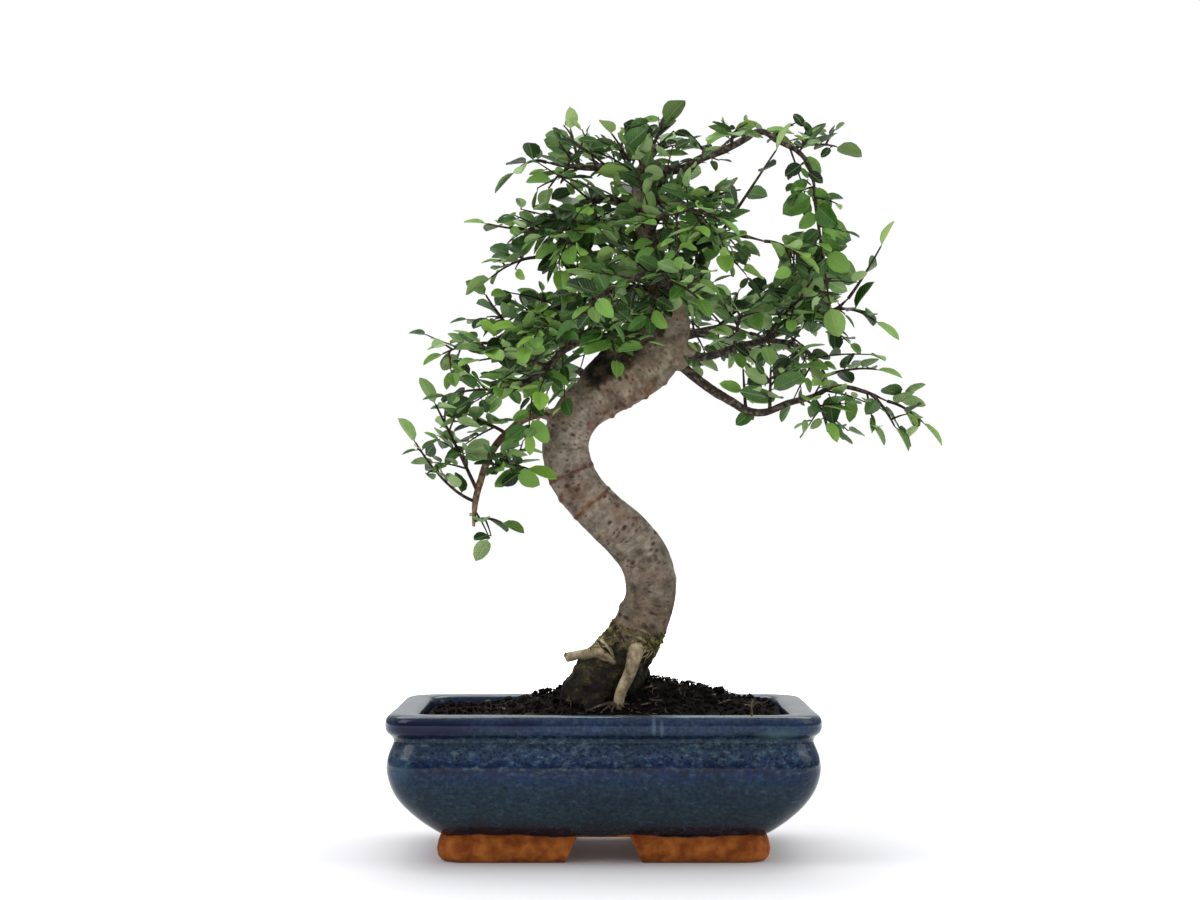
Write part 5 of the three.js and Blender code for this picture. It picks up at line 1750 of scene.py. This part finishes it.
class LeafShape(Enum):
    """The shapes of leaf on the tree: half width at the middle, fold along the midrib, droop of the tip."""

    BROAD = (0.5, 0.15, 0.06)
    NARROW = (0.42, 0.22, 0.14)
    CUPPED = (0.48, 0.26, -0.04)

    def model(self, columns: int) -> MeshPattern:
        """Model this leaf once: a pointed oval with a toothed edge, folded along its midrib.

        Args:
            columns: Faces across the leaf, an even number.

        Returns:
            The leaf at unit length and width, along X, its upper side towards +Z.
        """
        half, fold, droop = self.value
        rows = (0, 0.09, 0.2, 0.32, 0.45, 0.58, 0.7, 0.82, 0.92, 1)
        widths = (0.035, 0.05, 0.66, 0.9, 1, 0.97, 0.85, 0.62, 0.34, 0.02)
        last = len(rows) - 1
        leaf = add_primitive(bpy.ops.mesh.primitive_grid_add, "leaf", x_subdivisions=last,
                             y_subdivisions=columns, size=1, location=(0.5, 0, 0))
        for vertex in leaf.data.vertices:
            row = round(vertex.co.x * last)
            column = vertex.co.y * 2
            on_edge = abs(column) > 0.9 and 1 < row < last
            # Teeth point outwards and forwards, with a notch between each two
            tooth = (0.05 if row % 2 else -0.045) if on_edge else 0
            along = rows[row] + (0.025 if on_edge and row % 2 else 0)
            lift = fold * abs(column) ** 1.3 * widths[row] - droop * rows[row] ** 2
            wave = 0.02 * math.sin(9 * rows[row] + 2 * column) * abs(column)
            vertex.co = (along, widths[row] * half * column + math.copysign(tooth, column), lift + wave)
        for side in ("upper", "under"):
            leaf.data.materials.append(bpy.data.materials.new(f"{side}_place"))
        apply_modifier(leaf, "SOLIDIFY", thickness=0.035, offset=0, material_offset=1)
        return MeshPattern.from_object(leaf)


@dataclass
class Growth:
    """What one piece of foliage is made of: its twigs, its leaves and the CAD node that it stands for."""

    name: str
    nodes: list[str]
    twigs: list[list[Array]] = field(default_factory=list)
    own_leaves: list[Leaf] = field(default_factory=list)
    more_leaves: list[Leaf] = field(default_factory=list)


@dataclass
class Foliage:
    """All foliage: each shoot's stem with its solid's leaves, its side twigs, and sprays inside the crown."""

    layout: Layout
    wood: WoodField
    stem_shifts: tuple[Point, ...] = (
        (0, 0, 0), (0, -5, 0), (0, 5, 0), (0, 0, 5), (0, 0, -5), (5, 0, 0), (-5, 0, 0), (0, -9, 4), (0, 9, 4),
        (0, -9, -6), (0, 9, -6), (9, 0, 4), (-9, 0, 4), (0, -14, 8), (0, 14, 8))
    # The dense heart of the crown: height, and its edges left and right of the pot's middle
    heart: tuple[Point, ...] = ((232, -42, 44), (256, -38, 56), (293, -36, 60), (322, -22, 46), (340, -4, 32))
    heart_depth: float = 64
    # How full of leaves the crown is outside its heart: x from and to, z from and to, and the share.
    # The first that holds a place counts, and the smallest shares are gaps that the sky shows through.
    skirts: tuple[tuple[float, ...], ...] = (
        (-999, -20, 347, 999, 0), (-2, 16, 347, 999, 0.03), (16, 34, 347, 999, 0.45),
        (34, 53, 347, 999, 0.03), (-999, 999, 347, 999, 0.3), (113, 999, 257, 999, 0.03),
        (125, 999, 224, 999, 0.03), (70, 999, 0, 198, 0), (60, 89, 291, 337, 0.03), (89, 113, 250, 347, 1),
        (104, 130, 198, 222, 0.8), (52, 72, 216, 239, 0.12), (58, 125, 239, 264, 0.9),
        (58, 108, 200, 239, 0.5), (58, 93, 264, 291, 0.9), (58, 999, 337, 347, 0.6), (-12, 34, 0, 216, 0),
        (-999, -38, 311, 999, 0.03), (-999, -56, 257, 311, 0), (-56, -38, 257, 311, 0.25),
        (-999, -56, 202, 257, 0.33), (-56, -28, 202, 257, 0.8), (-999, -66, 0, 180, 0),
        (-66, -56, 0, 180, 0.3), (-56, -40, 162, 188, 1), (-40, -28, 0, 190, 0.05), (-56, -28, 0, 162, 0),
        (-999, -28, 0, 202, 0.65), (-28, 62, 0, 999, 0.4), (-999, 999, 0, 999, 0.15))
    # In front of the wood above the upper bend, which is painted with shade, hang few leaves: x from and to,
    # z from and to, and how far back that holds
    clearing: tuple[float, ...] = (-12, 15, 222, 243)
    clearing_back: float = 12
    # A twig that reaches into a thin place keeps fewer leaves there
    leaf_share: float = 1.6
    # Above this height the newest growth is upright and narrow, with small leaves
    new_growth: float = 325
    # Leaves straight on hanging wood: the shoot, the line they stand along, how many, their size against the
    # other small leaves, and whether they hang down rather than stand out to the sides
    rows: tuple[tuple[str, Point, Point, int, float, bool], ...] = (
        ("top_right_1", (95, -8, 337), (102, -10, 314), 6, 1.2, False),
        ("top_right_1", (102, -10, 313), (108, -12, 282), 8, 1.2, False),
        ("low_left_3", (-47, -15, 186), (-39, -18, 181), 4, 1.15, False),
        ("low_right_1", (106, -14, 219.5), (118, -15, 220.5), 3, 1.4, True),
        ("low_right_2", (64, -9, 214), (76, -11, 211), 2, 0.8, False),
    )
    row_leaf_width: float = 0.6
    # Right of this place the twigs bear fewer leaves and show between them
    twiggy_from: float = 55
    twiggy_share: float = 0.2
    twigs_a_stem: int = 8
    spray_space: float = 3.8
    spray_share: float = 0.85
    bare_trunk: float = 0.7
    twig_length: Pair = (9, 20)
    spray_length: Pair = (14, 34)
    small_leaf: float = 11
    spacing: float = 3.5
    stem_radii: Pair = (0.95, 0.45)
    box_margin: float = 0.3
    plan: LeafPlan = LeafPlan()
    middles: list[Array] = field(default_factory=list)

    def build(self, upper: Material, under: Material, bark: Material) -> None:
        """Make all foliage.

        Args:
            upper: Material of the leaves' upper side.
            under: Material of their under side.
            bark: Material of the twigs.
        """
        low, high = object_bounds()
        self.low = self.layout.millimetres(low) + self.box_margin
        self.high = self.layout.millimetres(high) - self.box_margin
        fine = [shape.model(4) for shape in LeafShape]
        coarse = [shape.model(2) for shape in LeafShape]
        growths, stems = [], []
        shoots = [(member, order, shoot) for member, own in SHOOTS.items()
                  for order, shoot in enumerate(own, 1)]
        for number, (member, order, shoot) in enumerate(shoots):
            node = f"shoot_{member}_{order}"
            solid = self.layout.millimetres(points_of(bpy.data.objects[node]))
            stem = self.lay_stem(number, member, shoot, solid)
            found = [self.plan.follow(stem, place, solid) for place in range(stem.leaves)]
            leaves = [leaf for leaf in found if leaf]
            growths.append(Growth(f"leafy_{node}", [node], [self.stem_route(stem)], leaves))
            self.middles.extend(leaf.middle for leaf in growths[-1].own_leaves)
            stems.append(stem)
        LOG.info("leaves that follow the solids: %d", len(self.middles))
        self.add_rows({growth.name: growth for growth in growths})
        for growth, stem in zip(growths, stems):
            self.add_side_twigs(growth, stem)
        bearers = [(name, bough.route(), bough.bare) for name, bough in BOUGHS.items()]
        for member, route, bare in [("trunk", TRUNK, self.bare_trunk), *bearers]:
            growth = Growth(f"inner_sprays_{member}", [])
            self.add_sprays(growth, route, bare)
            if growth.twigs:
                growths.append(growth)
        LOG.info("leaves in all: %d", len(self.middles))
        for growth in growths:
            self.make(growth, fine, coarse, (upper, under, bark))

    def fullness(self, place: Array) -> float:
        """Return how full of leaves the crown is round a place, from 0 to 1."""
        x, y, z = place
        left, right, low, high = self.clearing
        if left < x < right and low < z < high and y < self.clearing_back:
            return 0.0
        heights, left, right = zip(*self.heart)
        inside = np.interp(z, heights, left) < x < np.interp(z, heights, right) and abs(y) < self.heart_depth
        if inside and heights[0] < z < heights[-1]:
            return 1.0
        return next(share for left, right, low, high, share in self.skirts
                    if left < x < right and low < z < high)

    def lay_stem(self, number: int, member: str, shoot: tuple, solid: Array) -> StemPlan:
        """Lay a stem out, its middle moved aside as the CAD solid has it.

        Args:
            number: The shoot's number.
            member: What bears it.
            shoot: Its row of SHOOTS.
            solid: The solid's points.

        Returns:
            The stem.
        """
        share, tip, arch, leaves = shoot
        route = TRUNK if member == "trunk" else BOUGHS[member].route()
        start = along_route(route, share)[:3]
        end = np.array(tip, float)
        best = None
        for shift in self.stem_shifts:
            middle = (start + end) / 2 + np.array(shift) + UP * arch
            stem = StemPlan(number, leaves, np.array([start, middle, end]), self.wood)
            misfit = stem.misfit(solid)
            if best is None or misfit < best[0]:
                best = (misfit, stem)
            if misfit < 0.5:
                break
        return best[1]

    def stem_route(self, stem: StemPlan) -> list[Array]:
        """Return a stem's points and radii, from inside its bough to its tip."""
        first, last = self.stem_radii
        return [np.append(stem.at(share), first + (last - first) * share) for share in np.linspace(0, 1, 6)]

    def add_side_twigs(self, growth: Growth, stem: StemPlan) -> None:
        """Grow side twigs from a stem, more of them in the heart of the crown.

        Args:
            growth: Gathers the twigs.
            stem: The stem.
        """
        for place in range(self.twigs_a_stem):
            seed = 3000 + stem.number * 11 + place
            share = 0.22 + 0.72 * (place + 0.5 * draw(seed, 11)) / self.twigs_a_stem
            root = stem.at(share)
            if draw(seed, 10) > self.fullness(root):
                continue
            ahead = unit(stem.at(min(share + 0.05, 1)) - stem.at(share - 0.05))
            above = unit(stem.above - ahead * (stem.above @ ahead))
            turn = 2 * math.pi * (0.5 * place + 0.36 * (draw(seed, 1) - 0.5))
            self.grow(growth, seed, root, (ahead, above), turn, self.twig_length, 5)

    def add_rows(self, growths: dict[str, Growth]) -> None:
        """Set the larger leaves on hanging wood.

        Args:
            growths: The pieces of foliage by name.
        """
        across = np.cross(UP, BACK)
        for row, (shoot, start, end, count, size, hangs) in enumerate(self.rows):
            for number in range(count):
                at = np.array(start) + np.subtract(end, start) * (number + 0.5) / count
                leaf = self.small(7000 + row * 50 + number, at, (-UP, -BACK, -across), number, hangs)
                leaf.length *= size
                leaf.width = self.row_leaf_width * leaf.length
                self.middles.append(leaf.middle)
                growths[f"leafy_shoot_{shoot}"].own_leaves.append(leaf)

    def add_sprays(self, growth: Growth, route: Sequence[RoutePoint], bare: float) -> None:
        """Grow leafy sprays straight from a bough or the upper trunk, all round it.

        Args:
            growth: Gathers the twigs.
            route: The wood's centre line.
            bare: The share of it, from its start, that bears none.
        """
        length = Wood.route_length(route)
        for place in range(int(length / self.spray_space)):
            seed = 9000 + len(growth.name) * 131 + place
            share = (place + draw(seed, 11)) * self.spray_space / length
            here = along_route(route, min(share, 1))
            root = here[:3]
            if share < bare or draw(seed, 12) > self.spray_share * self.fullness(root):
                continue
            ahead = unit(along_route(route, min(share + 0.02, 1))[:3] - along_route(route, share - 0.02)[:3])
            above = unit(UP - ahead * ahead[2]) if abs(ahead[2]) < 0.9 else -unit(BACK - ahead * ahead[1])
            turn = 2 * math.pi * (0.382 * place + 0.1 * draw(seed, 1))
            reach = (self.spray_length[0] + here[3], self.spray_length[1] + here[3])
            self.grow(growth, seed, root, (ahead, above), turn, reach, 7)

    def grow(self, growth: Growth, seed: int, root: Array, frame: tuple[Array, Array], turn: float,
             reach: Pair, count: int) -> None:
        """Grow a twig with small leaves from a stem or bough, where they find room.

        Args:
            growth: Gathers the twig and its leaves.
            seed: Chooses its measures.
            root: Where it starts, on the bearer's centre line.
            frame: The bearer's direction there, and the direction above it.
            turn: Its turn round the bearer, in radians.
            reach: Its least and greatest length.
            count: How many leaves it has at most.
        """
        ahead, above = frame
        level = np.cross(ahead, above)
        out = level * math.cos(turn) + above * math.sin(turn)
        rise = 0.3 * (draw(seed, 2) - 0.3) + 0.6 * (root[2] > self.new_growth)
        heading = unit(ahead * (0.35 + 0.5 * draw(seed, 3)) + out + UP * rise)
        length = reach[0] + (reach[1] - reach[0]) * draw(seed, 4)
        end = root + heading * length + UP * (2.5 * draw(seed, 5) - 1)
        up = unit(UP - heading * heading[2]) if abs(heading[2]) < 0.95 else above
        sideways = np.cross(up, heading)
        leaves = []
        for number in range(count):
            at = root + (end - root) * ((number + 1.6) / (count + 0.6))
            leaf = self.small(seed * 9 + number, at, (heading, up, sideways), number, number == count - 1)
            if at[0] > self.twiggy_from and draw(seed * 9 + number, 10) < self.twiggy_share:
                continue
            full = self.leaf_share * self.fullness(leaf.middle)
            if draw(seed * 9 + number, 12) < full and self.has_room(leaf):
                leaves.append(leaf)
                self.middles.append(leaf.middle)
        if leaves:
            last = max((leaf.stalk_from - root) @ heading for leaf in leaves)
            tip = root + (end - root) * min(last / ((end - root) @ heading) + 0.02, 1)
            middle = (root + tip) / 2 + UP * 0.03 * length
            growth.twigs.append([np.append(root, 0.6), np.append(middle, 0.45), np.append(tip, 0.3)])
            growth.more_leaves.extend(leaves)

    def small(self, seed: int, at: Array, frame: tuple[Array, Array, Array], number: int, last: bool) -> Leaf:
        """Lay out a small leaf on a side twig.

        Args:
            seed: Chooses its measures.
            at: Where it springs from.
            frame: The twig's direction, the one above it and the one beside it.
            number: Its place on the twig.
            last: Whether it ends the twig.

        Returns:
            The leaf.
        """
        out, axis, across = leaf_directions(
            frame, -1 if number % 2 else 1, roll=math.radians(70 * (draw(seed, 3) - 0.4)),
            spread=math.radians(8 if last else 48 + 26 * draw(seed, 2)),
            sink=0.1 + 0.3 * draw(seed, 4), tilt=math.radians(100 * (draw(seed, 5) - 0.5)))
        length = self.small_leaf * (0.7 + 0.6 * draw(seed, 6))
        width = length * (0.36 + 0.28 * draw(seed, 7))
        if at[2] > self.new_growth:
            length, width = 0.85 * length, 0.6 * width
        youth = max(draw(seed, 8) - 0.86, 0) / 0.14
        # Painted shade: leaves of the newest growth at the top are toned darker against the overhead light
        shade = draw(seed, 9) - 0.2 * (at[2] > self.new_growth)
        return Leaf(at + out * 0.5, axis, across, np.cross(axis, across), length, width, at, (youth, shade))

    def has_room(self, leaf: Leaf) -> bool:
        """Return whether a leaf lies inside the part's box, off the wood and clear of other leaves."""
        edge = leaf.across * leaf.width / 2
        tip = leaf.root + leaf.axis * leaf.length
        probes = np.array([tip, leaf.middle, leaf.middle + edge, leaf.middle - edge])
        if (probes < self.low + 1).any() or (probes > self.high - 1).any():
            return False
        if self.wood.outside(probes).min() < 0.6:
            return False
        return bool(np.linalg.norm(np.array(self.middles) - leaf.middle, axis=1).min() > self.spacing)

    def held(self, points: Array) -> Array:
        """Return points with those beyond the part's box brought back to it."""
        return np.clip(points, self.low, self.high)

    def make(self, growth: Growth, fine: Sequence[MeshPattern], coarse: Sequence[MeshPattern],
             materials: Sequence[Material]) -> None:
        """Make one piece of foliage.

        Args:
            growth: Its twigs and leaves.
            fine: The shapes of the leaves that follow the solids.
            coarse: The shapes of the other leaves.
            materials: Upper side, under side and bark.
        """
        build = MeshBuilder(growth.name)
        stalks = []
        for leaves, patterns in ((growth.own_leaves, fine), (growth.more_leaves, coarse)):
            for leaf in leaves:
                pattern = patterns[int(draw(leaf.length, leaf.width) * len(patterns))]
                run = np.stack((pattern.points[:, 1] * leaf.width / LEAF_RUN + 0.5,
                                pattern.points[:, 0] * leaf.length / LEAF_RUN), axis=1)
                points = self.held(leaf.place(pattern.points))
                build.add(pattern, self.layout.metres(points), run, leaf.tone)
                stalks.append([np.append(leaf.stalk_from, 0.32),
                               np.append(leaf.root + leaf.axis * leaf.length * 0.1, 0.2)])
        piece = build.build()
        for material in materials:
            piece.data.materials.append(material)
        parts = [curve_tubes("twigs", self.layout, growth.twigs, sides=6, steps=3),
                 curve_tubes("stalks", self.layout, stalks, sides=4, steps=1)]
        for part in parts:
            part.data.materials.append(materials[2])
        make_active(piece, *parts)
        bpy.ops.object.join()
        settle(piece, [], growth.nodes, smooth=50)


@dataclass
class Studio:
    """The plain pale floor, soft lights and the camera at the photograph's viewing angle."""

    layout: Layout
    eye: Point = (-2, -1230, 163)
    aim: Point = (-1.7, 0, 193)
    lens: float = 76
    floor_size: float = 9
    # Place and aim in mm, width of the light in mm, and power in watts
    lights: tuple[tuple[Point, Point, float, float], ...] = (
        ((-900, -600, 1000), (0, 0, 200), 900, 8),
        ((1000, -350, 800), (0, 0, 200), 900, 4.5),
    )
    overhead: float = 2.1
    overhead_spread: float = 60
    overhead_tilt: float = 28

    def build(self) -> None:
        """Make the stage, the lights and the camera."""
        floor = add_primitive(bpy.ops.mesh.primitive_grid_add, "studio_floor", x_subdivisions=8,
                              y_subdivisions=8, size=self.floor_size)
        floor.data.materials.append(self.paper())
        floor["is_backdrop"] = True
        for number, (place, aim, width, power) in enumerate(self.lights, 1):
            bpy.ops.object.light_add(type="AREA")
            light = bpy.context.object
            light.name = f"softbox_{number}"
            self.aim_from(light, place, aim)
            light.data.size = width * MM
            light.data.energy = power
        bpy.ops.object.light_add(type="SUN", location=self.layout.metres((0, 0, 2000)))
        bpy.context.object.name = "overhead_softbox"
        # It hangs a little behind the tree, so the pot's soft shade falls to the front
        bpy.context.object.rotation_euler = (-math.radians(self.overhead_tilt), 0, 0)
        bpy.context.object.data.energy = self.overhead
        bpy.context.object.data.angle = math.radians(self.overhead_spread)
        self.paint_world()
        bpy.context.scene.view_settings.view_transform = "Standard"
        bpy.ops.object.camera_add()
        camera = bpy.context.object
        self.aim_from(camera, self.eye, self.aim)
        camera.data.lens = self.lens
        camera.data.sensor_width = 36
        camera.data.clip_start = 0.01
        camera.data.clip_end = 50
        bpy.context.scene.camera = camera

    def aim_from(self, obj: Object, place: Point, aim: Point) -> None:
        """Stand a light or the camera at a place, and turn it to its aim."""
        start, end = (Vector(self.layout.metres(point)) for point in (place, aim))
        obj.location = start
        obj.rotation_euler = (end - start).to_track_quat("-Z", "Y").to_euler()

    def paper(self) -> Material:
        """Return the floor's matt white paper with painted light: it glows, faintly near the pot and more
        further out, so it fades to white.
        """
        sheet = NodeSheet("studio_paper")
        add, place = sheet.add, sheet.place
        tooth = add("TexNoise", place, Scale=per_metre(3), Detail=2.0)
        bump = add("Bump", Strength=0.2, Distance=0.05 * MM, Height=tooth)
        away = add("VectorMath", place, operation="LENGTH").outputs["Value"]
        # Painted light: the paper emits light, faintly near the pot and up to full white far out
        glow = add("MapRange", away, 0.2, 1.2, 0.03)
        return sheet.finish(Base_Color="#dedee1", Roughness=0.7, Normal=bump, Emission_Color="#ffffff",
                            Emission_Strength=glow)

    def paint_world(self) -> None:
        """Light the stage from all round, and show a white background behind it."""
        world = bpy.data.worlds.new("studio_white")
        bpy.context.scene.world = world
        add = NodeTree(world).add
        gaze = add("SeparateXYZ", add("TexCoord").outputs["Generated"])
        # Dim at eye level, as the glaze mirrors a dark room, bright overhead and towards the white backdrop
        rise = add("MapRange", gaze.outputs["Z"], -0.1, 0.8, 0.12, 0.75)
        back = add("MapRange", gaze.outputs["Y"], 0.6, 0.95, To_Max=0.62)
        strength = add("Math", rise, back, operation="MAXIMUM")
        around = add("Background", "#ffffff", strength)
        behind = add("Background", "#ffffff")
        rays = add("LightPath").outputs["Is Camera Ray"]
        mix = add("MixShader", rays, around, behind)
        add("OutputWorld", mix)


def main() -> None:
    """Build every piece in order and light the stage."""
    logging.basicConfig(level=logging.INFO, format="%(name)s %(message)s")
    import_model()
    deselect_all()
    layout = Layout()
    GlazedPot(layout).build(GlazedStoneware().build(layout))
    plastic = NET_PLASTIC.build()
    for node in ("drain_mesh_left", "drain_mesh_right"):
        DrainNet(layout).build(node, plastic)
    Soil(layout).build(DAMP_PEAT.build(), DRY_FIBRE.build())
    trunk = Wood(layout).build(ElmBark().build(), TWIG_BARK.build(), LIT_TWIG_BARK.build())
    Moss(layout).build(trunk, SHORT_MOSS.build(), ROOT_HAIR.build())
    upper = ElmLeaf("elm_leaf_upper", ("#0a2005", "#325e19", "#6d993f"), "#85b043", "#82a05e", 0.45)
    under = ElmLeaf("elm_leaf_under", ("#1e3a16", "#4f7438", "#8da86b"), "#93b457", "#9cb086", 0.6)
    routes = [TRUNK, *(bough.route() for bough in BOUGHS.values())]
    Foliage(layout, WoodField(routes)).build(upper.build(), under.build(), YOUNG_BARK.build())
    Studio(layout).build()


if __name__ == "__main__":
    main()
